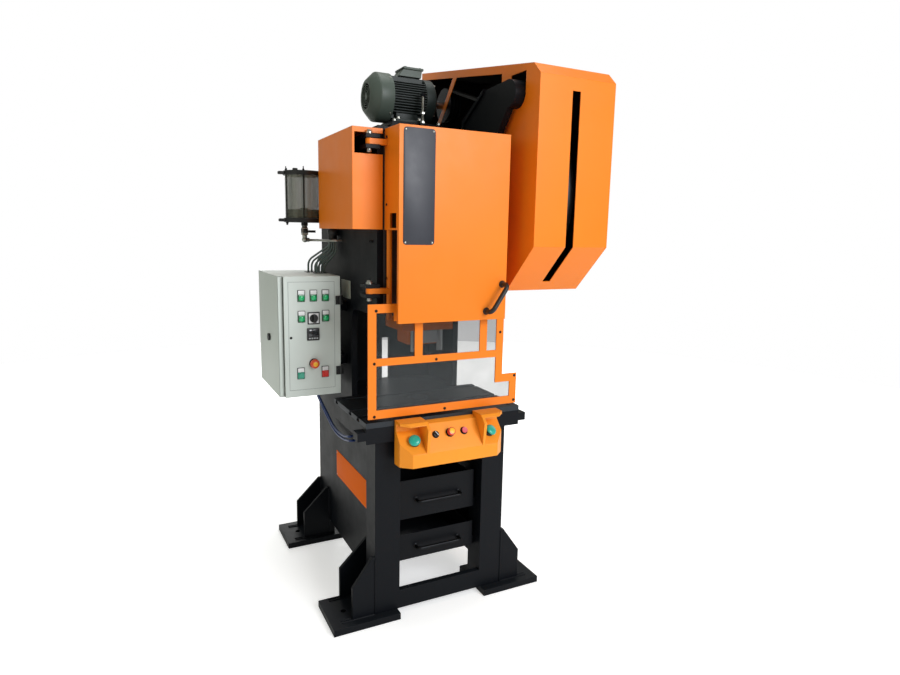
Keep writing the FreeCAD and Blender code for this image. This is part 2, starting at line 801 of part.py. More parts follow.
def door_cover():
    """Folded sheet cover in front of the head, open at its back."""
    t = door_t
    w = door_half_w
    shell = box(-w, w, door_front, door_back, door_low, door_high)
    hollow = box(-w + t, w - t, door_front + t, door_back + 1, door_low - 1, door_high - t)
    notch = box(-w - 1, -w + t + 1, door_front + 15, door_back + 1, door_low - 1, door_notch)
    slot = box(-w - 1, -w + t + 1, -492, -430, door_notch + 7, door_notch + 59)
    z = hinge_heights[1]
    half = arm_t / 2 + 2
    arm_room = box(-w - 1, -w + t + 1, pin_y - 15, door_back + 1, z - half, z + half)
    return less(shell, [hollow, notch, slot, arm_room])


def door_hinge_post():
    """Round post inside the door, with the two arms that reach the pins."""
    pieces = [rod_z(post_x, post_y, door_low, door_high - door_t - 0.2, post_r)]
    for z in hinge_heights:
        y0 = pin_y - arm_w / 2
        z0 = z - arm_t / 2
        pieces.append(box(pin_x, post_x, y0, y0 + arm_w, z0, z0 + arm_t))
        pieces.append(rod_z(pin_x, pin_y, z0, z0 + arm_t, arm_w / 2))
    bores = [rod_z(pin_x, pin_y, z - arm_t, z + arm_t, pin_r + fit) for z in hinge_heights]
    return less(joined(pieces), bores)


def guard_frame():
    """Flat bars welded into the stepped frame of the clear guard."""
    y = (frame_y - frame_t, frame_y)
    w = bar_w
    half = frame_half_w
    inside = door_low + 4
    bars = [(-half, -half + w, frame_low, frame_high),
            (-half, -185, frame_high - w, frame_high),
            (-half, half, frame_low, frame_low + w),
            (-half, frame_right, rail_low, rail_low + rail_w),
            (half - w, half, frame_low, frame_step),
            (frame_right - w, half, frame_step - w, frame_step),
            (frame_right - w, frame_right, frame_step - w, door_low),
            (-134, -134 + w, rail_low, inside + w),
            (142, 142 + w, rail_low, inside + w),
            (-217, -185, inside, frame_high),
            (-217, door_half_w - door_t, inside, inside + w)]
    return joined([box(x0, x1, y[0], y[1], z0, z1) for x0, x1, z0, z1 in bars])


def guard_window():
    """Clear sheet behind the bars, cut to the same stepped outline."""
    e = window_edge
    half = frame_half_w - e
    right = frame_right - e
    top = door_low + 30
    outline = [(-half, frame_low + e), (half, frame_low + e), (half, frame_step - e),
               (right, frame_step - e), (right, door_low - 2), (door_half_w - 7, door_low - 2),
               (door_half_w - 7, top), (-190, top), (-190, frame_high - e),
               (-half, frame_high - e)]
    return prism_y(outline, frame_y, frame_y + window_t)


def door_handle():
    """Bow handle set diagonally near the lower right corner of the door."""
    (xa, za), (xb, zb) = handle_a, handle_b
    out = door_front - handle_out
    points = [V(xa, door_front, za), V(xa, out, za), V(xb, out, zb), V(xb, door_front, zb)]
    return tube(points, handle_r)


# ------------------------------------------------------------ drawers
def drawer(low, high):
    """Open tray with a flat front that hangs a little below its floor."""
    t = drawer_t
    w = drawer_half_w
    y0 = drawer_front
    y1 = drawer_front + drawer_depth
    front = box(-w, w, y0, y0 + t, low - 4, high)
    tray = box(-w + t, w - t, y0, y1, low, high - 18)
    hollow = box(-w + 2 * t, w - 2 * t, y0 + t, y1 - t, low + t, high)
    return joined([front, less(tray, [hollow])])


def drawer_pull(low, high):
    """Bow pull with its two feet on the drawer front."""
    z = low + (high - low) * 0.46
    out = drawer_front - pull_out
    points = [V(-pull_half_w, drawer_front, z), V(-pull_half_w, out, z),
              V(pull_half_w, out, z), V(pull_half_w, drawer_front, z)]
    return tube(points, pull_r)


def drawer_runners():
    """Angle rails on the posts and side plates, one pair for each drawer."""
    rails = []
    inner = side_x - plate_t
    for low, high in drawer_heights:
        top = low - runner_gap
        shelf = joined([box(drawer_half_w - 22, leg_in, drawer_front + 12, -75, top - runner_t, top),
                        box(leg_in, inner, leg_front + leg_depth, -75, top - runner_t, top)])
        lip = box(leg_in - 6, leg_in, drawer_front + 12, -75, top, top + 30)
        rail = joined([shelf, lip])
        rails += [rail, mirrored(rail)]
    return group(rails)


# ------------------------------------------------------------ cabinet
def cabinet_body():
    """Sheet case with a lip beside its front opening, on two rails to the side plate."""
    t = cab_t
    shell = box(cab_left, cab_right, cab_front, cab_back, cab_low, cab_high)
    hollow = box(cab_left + t, cab_right - t, cab_front - 1, cab_back - t,
                 cab_low + t, cab_high - t)
    rails = [box(cab_right, -side_x, cab_front + 40, cab_back, z, z + cab_rail_w)
             for z in (cab_low + cab_rail_in, cab_high - cab_rail_in - cab_rail_w)]
    lip = box(cab_left, cab_left + cab_lip_w, cab_front, cab_front + t, cab_low, cab_high)
    y, z = lock_place
    lock_hole = rod_x(cab_left - 1, cab_left + t + 1, y, z, 10.0 + slide_gap)
    return less(joined([less(shell, [hollow]), lip] + rails), [lock_hole])


def cabinet_door():
    """Pan-shaped door, with holes for its knob and buttons."""
    t = cab_t
    y0 = cab_front - cab_door_t
    y1 = cab_front - 0.5
    left = cab_left + cab_lip_w - cab_lap
    pan = box(left, cab_right, y0, y1, cab_low, cab_high)
    hollow = box(left + t, cab_right - t, y0 + t, y1 + 1, cab_low + t, cab_high - t)
    cuts = [hollow]
    for (x, z), r in ((selector_place, 6.0), (stop_place, 8.0),
                      (start_place, 8.0), (halt_place, 8.0)):
        cuts.append(rod_y(x, y0 - 1, y0 + t + 1, z, r + slide_gap))
    return less(pan, cuts)


def cabinet_lamps():
    """Five signal lamps, each with its tag, on the cabinet door."""
    y1 = cab_front - cab_door_t
    w, h = lamp_size
    lamps = []
    for x, z in lamp_places:
        base = box(x - w / 2, x + w / 2, y1 - 4, y1, z - h / 2, z + h / 2)
        lens = rod_y(x, y1 - lamp_out, y1 - 4, z - 8, 11.0)
        lamps.append(joined([base, lens]))
    return group(lamps)


def push_button(place, cap_r, cap_out, stem_r):
    """Round push button: cap in front of the door, stem through it."""
    x, z = place
    face = cab_front - cab_door_t
    cap = rod_y(x, face - cap_out - 6, face - 6, z, cap_r)
    stem = rod_y(x, face - 7, face + 12, z, stem_r)
    return joined([cap, stem])


def cabinet_selector_knob():
    """Rotary switch handle with its pointer."""
    x, z = selector_place
    face = cab_front - cab_door_t
    disc = rod_y(x, face - 8, face - 1, z, 17.0)
    grip = box(x - 5, x + 5, face - 24, face - 8, z - 16, z + 16)
    stem = rod_y(x, face - 2, face + 12, z, 6.0)
    return joined([disc, grip, stem])


def cabinet_lock():
    """Quarter-turn lock in the left side of the case."""
    y, z = lock_place
    cap = rod_x(cab_left - 9, cab_left - 0.5, y, z, 15.0)
    barrel = rod_x(cab_left - 1, cab_left + 24, y, z, 10.0)
    tongue = box(cab_left + 20, cab_left + 24, y - 8, y + 8, z - 36, z)
    return joined([cap, barrel, tongue])


# ------------------------------------------------------------ console
panel_way = V(0, panel_top[0] - console_front, panel_top[1] - console_fold)
panel_normal = V(0, -panel_way.z, panel_way.y).normalize()
palm_lean = math.radians(45)
palm_seat = V(palm_x, -524.0, 732.0)


def palm_axis(side):
    """Outward direction of a palm button: up, forward and a little outward."""
    splay = math.radians(palm_splay)
    flat = math.cos(splay)
    return V(side * math.sin(splay), -flat * math.sin(palm_lean), flat * math.cos(palm_lean))


def panel_point(x):
    """The middle of the sloping panel at x."""
    return V(x, (panel_top[0] + console_front) / 2 + 6, (panel_top[1] + console_fold) / 2 + 9)


def console_housing():
    """Cast console on the bed front, with a hood open to the side over each palm button."""
    w = console_half_w
    body = prism_x([(bed_front, console_low), (console_front, console_low + 4),
                    (console_front, console_fold), panel_top, (bed_front, panel_top[1] + 8)],
                   -w, w)
    hood_shape = [(bed_front, console_fold), (console_front, console_fold),
                  (hood_front, 784.0), (hood_front + 30, hood_top), (bed_front, hood_top)]
    pocket_shape = [(console_front - 0.5, console_fold - 0.5), (-488.0, 771.0),
                    (-488.0, hood_top - hood_wall), (-620.0, hood_top - hood_wall),
                    (-620.0, console_fold - 7)]
    hoods = []
    pockets = []
    for side in (-1, 1):
        hoods.append(prism_x(hood_shape, side * hood_in, side * w))
        pockets.append(prism_x(pocket_shape, side * (hood_in + hood_wall),
                               side * (w + 1)))
    corner_x, corner_y = console_corner
    slant = (w - corner_x) / (corner_y - console_front)
    tip_x = corner_x - (console_front - hood_front) * slant
    plan = prism_z([(-w, bed_front), (-w, corner_y), (-tip_x, hood_front), (tip_x, hood_front),
                    (w, corner_y), (w, bed_front)], console_low, hood_top)
    shape = joined([body] + hoods).common(plan)
    shape = less(shape, pockets)
    cuts = []
    for side in (-1, 1):
        axis = palm_axis(side)
        seat = V(side * palm_seat.x, palm_seat.y, palm_seat.z)
        cuts.append(rod(seat.sub(axis * 32), seat.add(axis * 30), 9.0 + slide_gap))
    for x, r in console_items:
        at = panel_point(x)
        cuts.append(rod(at.sub(panel_normal * 26), at.add(panel_normal * 12), 6.0 + slide_gap))
    return less(shape, cuts)


def palm_button(side):
    """Mushroom palm button on its stem."""
    axis = palm_axis(side)
    seat = V(side * palm_seat.x, palm_seat.y, palm_seat.z)
    cap = rod(seat.add(axis * 17), seat.add(axis * 27), palm_r)
    stem = rod(seat.sub(axis * 22), seat.add(axis * 18), 9.0)
    return joined([cap, stem])


def console_button(index, out):
    """A round actuator on the sloping panel."""
    x, r = console_items[index]
    at = panel_point(x)
    cap = rod(at.add(panel_normal * 7), at.add(panel_normal * (7 + out)), r)
    stem = rod(at.sub(panel_normal * 16), at.add(panel_normal * 8), 6.0)
    return joined([cap, stem])


def console_selector_knob():
    x, r = console_items[0]
    at = panel_point(x)
    disc = rod(at.add(panel_normal * 1), at.add(panel_normal * 8), r)
    stem = rod(at.sub(panel_normal * 16), at.add(panel_normal * 2), 6.0)
    grip = box(x - 3, x + 3, -10, 10, 0, 14)
    lean = math.degrees(math.atan2(-panel_normal.y, panel_normal.z))
    grip.rotate(V(0, 0, 0), V(1, 0, 0), lean)
    grip.translate(V(0, at.y, at.z).add(panel_normal * 7))
    return joined([disc, stem, grip])


# ------------------------------------------------------------ oil and cables
def reservoir_caps():
    """Lower and upper caps, each with an arm to the side plate."""
    pieces = []
    for low in (res_low, res_high - cap_t):
        disc = rod_z(res_x, res_y, low, low + cap_t, cap_r)
        arm = box(res_x, -side_x, res_y - 16, res_y + 16, low + 2, low + 12)
        pieces.append(joined([disc, arm]))
    outlet = rod_z(res_x, res_y, res_low - 14, res_low, 14.0)
    pieces[0] = joined([pieces[0], outlet])
    return group(pieces)


def reservoir_tube():
    low = res_low + cap_t
    high = res_high - cap_t
    outer = rod_z(res_x, res_y, low, high, res_r)
    return less(outer, [rod_z(res_x, res_y, low - 1, high + 1, res_r - res_wall)])


def oil_pipe():
    """Valve body under the reservoir, elbow and pipe to the side plate."""
    top = res_low - 14
    body = rod_z(res_x, res_y, pipe_z + 12, top, 10.0)
    block = box(res_x - 12, res_x + 12, res_y - 12, res_y + 12, pipe_z + 22, top - 8)
    elbow = Part.makeSphere(12.0, V(res_x, res_y, pipe_z + 2))
    pipe = tube([V(res_x, res_y, pipe_z), V(res_x + 52, res_y, pipe_z),
                 V(-side_x - 34, pipe_y, pipe_z), V(-side_x, pipe_y, pipe_z)], pipe_r)
    stem_hole = rod_y(res_x, res_y - 13, res_y - 4, (pipe_z + 22 + top - 8) / 2, 4.0 + fit)
    return less(joined([body, block, elbow, pipe]), [stem_hole])


def oil_valve_lever():
    """Quarter-turn lever of the oil valve."""
    z = (pipe_z + 22 + res_low - 22) / 2
    stem = rod_y(res_x, res_y - 20, res_y - 5, z, 4.0)
    lever = box(res_x - 6, res_x + 42, res_y - 22, res_y - 17, z - 5, z + 5)
    return joined([stem, lever])


def cable_gland():
    """Round black gland on the side plate, with its mouth downwards."""
    body = Part.makeSphere(gland_r, V(-side_x - gland_r + 4, gland_y, gland_z))
    body = body.common(box(-side_x - 3 * gland_r, -side_x, gland_y - 60, gland_y + 60,
                           gland_z - 60, gland_z + 60))
    mouth = rod_z(-side_x - gland_r + 2, gland_y, gland_z - 34, gland_z, gland_r - 5)
    return joined([body, mouth])


def control_cables():
    """Two rows of cables that fan out from the gland to the cabinet top."""
    cables = []
    mouth_x = -side_x - gland_r + 2
    mouth_z = gland_z - 34
    for row in range(2):
        for k in range(4):
            place = 1.5 - k
            start = V(mouth_x + place * cable_pitch,
                      gland_y + (0.5 - row) * (cable_pitch + 1), mouth_z)
            end = V(cable_land_x[row] + place * cable_spread[row],
                    cable_land_y[row] - 4.0 * k, cab_high)
            low = V(start.x, start.y, start.z - 44 + 7 * k - 8 * row)
            high = V(end.x, end.y, end.z + 28 + 8 * k)
            cables.append(tube([start, low, high, end], cable_r))
    return group(cables)


def air_hoses():
    """Two air hoses that droop from the cabinet floor to the side plate."""
    hoses = []
    for k in range(2):
        drop = 14.0 * k
        lead = 16.0 * k
        x = -side_x - 24
        z = hose_z - drop
        points = [V(x - 38, 278 + lead, cab_low), V(x - 38, 278 + lead, 768),
                  V(x - 12, 262 + lead, 700 - drop / 2), V(x, 206 + lead / 2, z + 26),
                  V(x, 130, z - 2), V(x, 50, z - 12), V(x, -34, z - 6),
                  V(x, -108 - lead, z + 14), V(-side_x, -108 - lead, z + 14)]
        hoses.append(tube(points, hose_r))
    return group(hoses)


# ------------------------------------------------------------ output
def nodes():
    """Every sub-part by the name of its node."""
    parts = {
        "side_plate_left": side_plate(-1),
        "side_plate_right": side_plate(1),
        "front_stand": front_stand(),
        "feet": feet(),
        "rear_web": rear_web(),
        "bed": bed(),
        "bolster_plate": bolster_plate(),
        "head_casting": head_casting(),
        "top_plate": top_plate(),
        "main_bearings": main_bearings(),
        "crankshaft": crankshaft(),
        "clutch_hub": clutch_hub(),
        "connecting_rod": connecting_rod(),
        "adjusting_screw": adjusting_screw(),
        "ram": ram(),
        "shank_clamp": shank_clamp(),
        "flywheel": flywheel(),
        "drive_belts": drive_belts(),
        "flywheel_guard": flywheel_guard(),
        "guard_hanger_arm": guard_hanger_arm(),
        "motor_base": motor_base(),
        "motor_stator": motor_stator(),
        "motor_fan_cowl": motor_fan_cowl(),
        "motor_terminal_box": motor_terminal_box(),
        "motor_rotor": motor_rotor(),
        "motor_pulley": motor_pulley(),
        "side_cover": side_cover(),
        "door_hinge_brackets": door_hinge_brackets(),
        "door_hinge_pins": door_hinge_pins(),
        "door_cover": door_cover(),
        "door_hinge_post": door_hinge_post(),
        "guard_frame": guard_frame(),
        "guard_window": guard_window(),
        "door_handle": door_handle(),
        "drawer_runners": drawer_runners(),
        "cabinet_body": cabinet_body(),
        "cabinet_door": cabinet_door(),
        "cabinet_lamps": cabinet_lamps(),
        "cabinet_selector_knob": cabinet_selector_knob(),
        "cabinet_stop_button": push_button(stop_place, 19.0, 22.0, 8.0),
        "cabinet_start_button": push_button(start_place, 12.0, 6.0, 8.0),
        "cabinet_halt_button": push_button(halt_place, 12.0, 6.0, 8.0),
        "cabinet_lock": cabinet_lock(),
        "console_housing": console_housing(),
        "palm_button_left": palm_button(-1),
        "palm_button_right": palm_button(1),
        "console_selector_knob": console_selector_knob(),
        "console_stop_button": console_button(1, 20.0),
        "console_reset_button": console_button(2, 9.0),
        "reservoir_caps": reservoir_caps(),
        "reservoir_tube": reservoir_tube(),
        "oil_pipe": oil_pipe(),
        "oil_valve_lever": oil_valve_lever(),
        "cable_gland": cable_gland(),
        "control_cables": control_cables(),
        "air_hoses": air_hoses(),
    }
    for name, (low, high) in zip(("upper", "lower"), drawer_heights):
        parts["drawer_" + name] = drawer(low, high)
        parts["drawer_" + name + "_pull"] = drawer_pull(low, high)
    return parts


os.makedirs("parts", exist_ok=True)
for node_name, shape in nodes().items():
    shape.exportStep("parts/" + node_name + ".step")
    volume = shape.Volume / 1e6
    print(f"{node_name:24s} solids {len(shape.Solids)}  valid {shape.isValid()}  {volume:9.3f} l")
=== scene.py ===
# %% [markdown]
# # A mechanical stamping press
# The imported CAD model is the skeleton: every plate, cover, wheel and button is already a solid
# of the right size, and the joints move those solids. This notebook gives them their finishes
# and adds what is too small or too smooth for the CAD model, such as screws, cooling fins,
# lamp lenses and weld beads. It begins by loading the frame, because all places come from it.

import json
import math

import bmesh
import bpy
from mathutils import Matrix, Vector


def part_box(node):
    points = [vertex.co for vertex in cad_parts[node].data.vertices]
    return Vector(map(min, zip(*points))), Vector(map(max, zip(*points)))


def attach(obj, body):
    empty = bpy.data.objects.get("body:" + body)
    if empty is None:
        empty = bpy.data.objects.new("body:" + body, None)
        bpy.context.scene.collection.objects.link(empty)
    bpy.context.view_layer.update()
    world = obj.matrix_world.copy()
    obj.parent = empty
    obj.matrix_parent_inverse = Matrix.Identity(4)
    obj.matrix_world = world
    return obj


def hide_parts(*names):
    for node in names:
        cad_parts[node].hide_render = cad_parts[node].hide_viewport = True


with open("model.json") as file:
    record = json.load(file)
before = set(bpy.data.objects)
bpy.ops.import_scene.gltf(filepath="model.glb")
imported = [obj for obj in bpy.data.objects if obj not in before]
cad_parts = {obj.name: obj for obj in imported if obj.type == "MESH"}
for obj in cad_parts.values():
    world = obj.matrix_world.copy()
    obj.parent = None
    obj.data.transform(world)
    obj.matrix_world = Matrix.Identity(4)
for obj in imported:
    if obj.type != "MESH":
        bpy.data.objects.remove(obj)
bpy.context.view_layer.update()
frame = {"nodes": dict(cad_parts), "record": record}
nodes = frame["nodes"]
MM = 0.001

# %% [markdown]
# ## Camera
# A machine this tall is looked at from a standing operator's height, a little to its left, so
# the lens is about 1.5 m above the floor. The camera's axes are written as unit vectors, which
# turn straight into a matrix, so no aiming constraint is needed. The small helper that puts a
# new object into the scene serves every later cell too.

# %% Camera
CAMERA_PLACE = Vector((-1.070, -2.575, 1.500))
CAMERA_RIGHT = Vector((0.8913, -0.4530, 0.0200))
CAMERA_DOWN = Vector((-0.0566, -0.1548, -0.9863))
CAMERA_AHEAD = Vector((0.4499, 0.8780, -0.1636))
LENS_MM, SENSOR_MM, SIGHT = 25.3, 36.0, 60.0


def link(name, data):
    """Put a datablock into the scene as an object."""
    obj = bpy.data.objects.new(name, data)
    bpy.context.scene.collection.objects.link(obj)
    return obj


camera_data = bpy.data.cameras.new("camera")
camera_data.lens, camera_data.sensor_width, camera_data.clip_end = LENS_MM, SENSOR_MM, SIGHT
camera = link("camera", camera_data)
camera_turn = Matrix((CAMERA_RIGHT, -CAMERA_DOWN, -CAMERA_AHEAD)).transposed()
camera.matrix_world = Matrix.Translation(CAMERA_PLACE) @ camera_turn.to_4x4()
bpy.context.scene.camera = camera
print("camera at", tuple(CAMERA_PLACE))

# %% [markdown]
# ## Floor and light
# A product picture of a machine wants a pale floor that fades into a pale background and large
# soft lights. The floor is one big disc, and a glow that grows with the distance makes its edge
# meet the white wall unseen. The key light stands in front, so that the front faces are the
# brightest and the left side is a shade deeper, and weaker lights fill the rest. Floor and wall
# are dimmer as lights than they look, and the Standard view keeps enamel as saturated as its
# paint code.

# %% Floor and light
FLOOR_RADIUS, FLOOR_DROP = 6.0, 0.0005
GLOW = {"From Min": 1.0, "From Max": 4.0, "To Min": 0.46, "To Max": 0.95}
GLOW_AS_LIGHT, WALL_AS_LIGHT = 0.3, 0.36


def srgb(code):
    """A hex colour as the linear values that shaders work in."""
    values = [int(code[i:i + 2], 16) / 255 for i in (1, 3, 5)]
    linear = [v / 12.92 if v <= 0.04045 else ((v + 0.055) / 1.055) ** 2.4 for v in values]
    return (*linear, 1.0)


def new_material(name):
    """An empty node tree with its output and Principled shader."""
    material = bpy.data.materials.new(name)
    material.use_nodes = True
    tree = material.node_tree
    tree.nodes.clear()
    shader = tree.nodes.new("ShaderNodeBsdfPrincipled")
    output = tree.nodes.new("ShaderNodeOutputMaterial")
    tree.links.new(shader.outputs[0], output.inputs["Surface"])
    return material, tree, shader


def plug(tree, node, inputs):
    """Set a node's inputs, or link them where a socket is given."""
    for key, value in inputs.items():
        if isinstance(value, bpy.types.NodeSocket):
            tree.links.new(value, node.inputs[key])
        else:
            node.inputs[key].default_value = value


def add(tree, kind, settings=None, inputs=None):
    """Add one node, set its properties, and set or link its inputs."""
    node = tree.nodes.new(kind)
    for key, value in (settings or {}).items():
        setattr(node, key, value)
    plug(tree, node, inputs or {})
    return node


def area_light(name, place, aim, size, power, colour="#FFFFFF"):
    """A square soft light that faces a point."""
    data = bpy.data.lights.new(name, "AREA")
    data.size = size
    data.energy = power
    data.color = srgb(colour)[:3]
    light = link(name, data)
    light.location = place
    light.rotation_euler = (Vector(aim) - Vector(place)).to_track_quat("-Z", "Y").to_euler()


floor_material, tree, shader = new_material("pale_floor")
away = add(tree, "ShaderNodeVectorMath", {"operation": "LENGTH"},
           {0: add(tree, "ShaderNodeTexCoord").outputs["Object"]})
glow = add(tree, "ShaderNodeMapRange", None, {"Value": away.outputs["Value"], **GLOW})
ray = add(tree, "ShaderNodeLightPath")
direct = add(tree, "ShaderNodeMapRange", None,
             {"Value": ray.outputs["Is Camera Ray"], "To Min": GLOW_AS_LIGHT})
shine = add(tree, "ShaderNodeMath", {"operation": "MULTIPLY"},
            {0: glow.outputs[0], 1: direct.outputs[0]})
plug(tree, shader, {"Base Color": srgb("#F6F6F6"), "Roughness": 0.7,
                    "Emission Color": srgb("#FFFFFF"), "Emission Strength": shine.outputs[0]})
bm = bmesh.new()
bmesh.ops.create_circle(bm, cap_ends=True, segments=96, radius=FLOOR_RADIUS)
floor_mesh = bpy.data.meshes.new("floor")
bm.to_mesh(floor_mesh)
bm.free()
floor_mesh.materials.append(floor_material)
floor = link("floor", floor_mesh)
floor.location.z = -FLOOR_DROP

AIM = (0.0, 0.0, 1.1)
area_light("key", (1.6, -5.2, 3.2), AIM, 2.6, 235, "#F8FAFF")
area_light("fill", (-4.6, -1.6, 2.6), AIM, 2.6, 15, "#F4F0D8")
area_light("top", (0.4, 0.4, 5.4), AIM, 3.2, 80)
area_light("right", (4.8, 1.6, 3.0), AIM, 3.0, 60)
area_light("back", (0.6, 5.2, 2.6), AIM, 3.0, 60)

world = bpy.data.worlds.new("studio")
world.use_nodes = True
tree = world.node_tree
tree.nodes.clear()
seen = add(tree, "ShaderNodeBackground", None, {"Color": srgb("#FFFFFF"), "Strength": 1.0})
lit = add(tree, "ShaderNodeBackground", None,
          {"Color": srgb("#F2F4EA"), "Strength": WALL_AS_LIGHT})
ray = add(tree, "ShaderNodeLightPath")
both = add(tree, "ShaderNodeMixShader", None,
           {0: ray.outputs["Is Camera Ray"], 1: lit.outputs[0], 2: seen.outputs[0]})
add(tree, "ShaderNodeOutputWorld", None, {"Surface": both.outputs[0]})
bpy.context.scene.world = world
bpy.context.scene.view_settings.view_transform = "Standard"
print("floor and lights made")


# %% [markdown]
# ## Finishes
# Most of the machine is sprayed enamel over steel plate and castings. Sprayed enamel shows as a
# smooth colour with a faint orange peel, soft highlights along rounded edges, and a little dust
# on whatever faces up. One function builds that recipe, because the enamels differ only in
# colour, gloss and texture. The Bevel node rounds the sharp CAD edges in the shading alone.
# Castings get a coarser peel and rounder edges than sheet.

# %% Enamel
def relief(tree, height, depth_mm, edge_mm, strength):
    """The normal of a bump with a real depth, over edges that the shading rounds."""
    edges = add(tree, "ShaderNodeBevel", {"samples": 4}, {"Radius": edge_mm * MM})
    bumped = add(tree, "ShaderNodeBump", None,
                 {"Height": height, "Distance": depth_mm * MM, "Strength": strength,
                  "Normal": edges.outputs["Normal"]})
    return bumped.outputs["Normal"]


def enamel(name, colour, gloss, edge_mm, peel_mm, peel_depth_mm, shine=0.4,
           dust="#8C8478", dust_amount=0.25):
    """Sprayed paint: colour drift, orange peel, rounded edges and dust on upward faces."""
    material, tree, shader = new_material(name)
    place = add(tree, "ShaderNodeTexCoord").outputs["Object"]
    peel = add(tree, "ShaderNodeTexNoise", None,
               {"Vector": place, "Scale": 1 / (peel_mm * MM), "Detail": 2.0})
    drift = add(tree, "ShaderNodeTexNoise", None, {"Vector": place, "Scale": 2.2, "Detail": 5.0})
    grimy = add(tree, "ShaderNodeTexNoise", None,
                {"Vector": place, "Scale": 9.0, "Detail": 8.0, "Roughness": 0.65})
    base = Vector(srgb(colour)[:3])
    shade = add(tree, "ShaderNodeMix", {"data_type": "RGBA"},
                {0: drift.outputs[0], 6: (*(base * 0.86), 1.0), 7: (*(base * 1.10), 1.0)})
    normal = add(tree, "ShaderNodeNewGeometry").outputs["Normal"]
    up = add(tree, "ShaderNodeSeparateXYZ", None, {0: normal}).outputs["Z"]
    lies = add(tree, "ShaderNodeMapRange", None, {"Value": up, "From Min": 0.55, "From Max": 1.0})
    settled = add(tree, "ShaderNodeMath", {"operation": "MULTIPLY"},
                  {0: lies.outputs[0], 1: grimy.outputs[0]})
    amount = add(tree, "ShaderNodeMath", {"operation": "MULTIPLY"},
                 {0: settled.outputs[0], 1: dust_amount * 2})
    dusty = add(tree, "ShaderNodeMix", {"data_type": "RGBA"},
                {0: amount.outputs[0], 6: shade.outputs[2], 7: srgb(dust)})
    dull = add(tree, "ShaderNodeMapRange", None,
               {"Value": grimy.outputs[0], "From Min": 0.25, "From Max": 0.8,
                "To Min": gloss - 0.05, "To Max": gloss + 0.10})
    plug(tree, shader, {"Base Color": dusty.outputs[2], "Roughness": dull.outputs[0],
                        "Normal": relief(tree, peel.outputs[0], peel_depth_mm, edge_mm, 0.6),
                        "IOR": ENAMEL_IOR, "Specular IOR Level": shine})
    return material


ENAMEL_IOR = 1.5
ORANGE = enamel("orange_enamel_on_sheet", "#F07E16", 0.36, 2.0, 1.6, 0.05, 0.28, dust_amount=0.04)
ORANGE_PLATE = enamel("orange_enamel_on_plates", "#EE6C10", 0.55, 1.0, 1.6, 0.05, 0.06,
                      dust_amount=0.0)
ORANGE_CAST = enamel("orange_enamel_on_castings", "#F4931C", 0.40, 4.5, 3.0, 0.30, 0.35,
                     dust_amount=0.05)
BLACK = enamel("black_enamel_on_plate", "#0B0E13", 0.42, 2.5, 2.4, 0.12, 0.14, "#3C4146", 0.12)
DRAWER = enamel("black_enamel_on_drawers", "#0B0D11", 0.40, 1.5, 1.8, 0.05, 0.14, "#3A3E42", 0.08)
GREY = enamel("grey_powder_coat", "#CFD7D1", 0.50, 2.0, 0.9, 0.06, 0.35, dust_amount=0.10)
MOTOR = enamel("green_grey_enamel_on_motor", "#4F5A52", 0.45, 1.5, 2.5, 0.15, 0.35,
               dust_amount=0.12)
MOTOR_DARK = enamel("dark_enamel_on_motor_ribs", "#262F2D", 0.45, 0.8, 2.5, 0.15, 0.3,
                    dust_amount=0.1)
print("enamels made, materials so far:", len(bpy.data.materials))

# %% [markdown]
# ## Bare metals
# Bare parts are ground, zinc plated, chromed or as cast. A metal's colour is its reflection, so
# metallic is 1 and the base colour is bright. What tells the finishes apart is roughness and
# the direction of the marks: noise stretched along one axis reads as grinding lines, and even
# noise as the skin of a casting.

# %% Metals
METAL_EDGE_MM = 0.8
EVEN = (1.0, 1.0, 1.0)


def metal(name, colour, gloss, mark_mm, stretch, depth_mm):
    """Bare metal with tool marks: mark_mm apart, longer along the axes where stretch is low."""
    material, tree, shader = new_material(name)
    place = add(tree, "ShaderNodeTexCoord").outputs["Object"]
    spread = add(tree, "ShaderNodeMapping", None, {"Vector": place, "Scale": stretch})
    marks = add(tree, "ShaderNodeTexNoise", None,
                {"Vector": spread.outputs[0], "Scale": 1 / (mark_mm * MM), "Detail": 3.0})
    stains = add(tree, "ShaderNodeTexNoise", None, {"Vector": place, "Scale": 14.0, "Detail": 6.0})
    base = Vector(srgb(colour)[:3])
    shade = add(tree, "ShaderNodeMix", {"data_type": "RGBA"},
                {0: stains.outputs[0], 6: (*(base * 0.72), 1.0), 7: (*base, 1.0)})
    dull = add(tree, "ShaderNodeMapRange", None,
               {"Value": stains.outputs[0], "To Min": gloss + 0.10, "To Max": gloss - 0.05})
    plug(tree, shader, {"Base Color": shade.outputs[2], "Roughness": dull.outputs[0],
                        "Normal": relief(tree, marks.outputs[0], depth_mm, METAL_EDGE_MM, 0.7),
                        "Metallic": 1.0})
    return material


GROUND = metal("ground_steel", "#B9BBBC", 0.34, 1.2, (0.04, 1.0, 1.0), 0.02)
BOLSTER = metal("oiled_ground_steel", "#404448", 0.46, 1.4, (0.05, 1.0, 1.0), 0.02)
TURNED = metal("turned_steel", "#A9ABAC", 0.30, 1.0, (1.0, 0.05, 0.05), 0.02)
ZINC = metal("zinc_plated_steel", "#C4C4BC", 0.32, 3.0, EVEN, 0.02)
BLACK_OXIDE = metal("black_oxide_steel", "#2A2B2D", 0.42, 2.0, EVEN, 0.02)
CAST_IRON = metal("machined_cast_iron", "#5C5E60", 0.46, 1.6, EVEN, 0.08)
BRONZE = metal("turned_bronze", "#B58A4A", 0.32, 1.0, (0.1, 1.0, 1.0), 0.02)
ALUMINIUM = metal("anodised_aluminium", "#55585B", 0.38, 1.2, (1.0, 1.0, 0.1), 0.02)
CHROME = metal("chrome_plate", "#DADCDD", 0.10, 6.0, EVEN, 0.005)
print("metals made, materials so far:", len(bpy.data.materials))

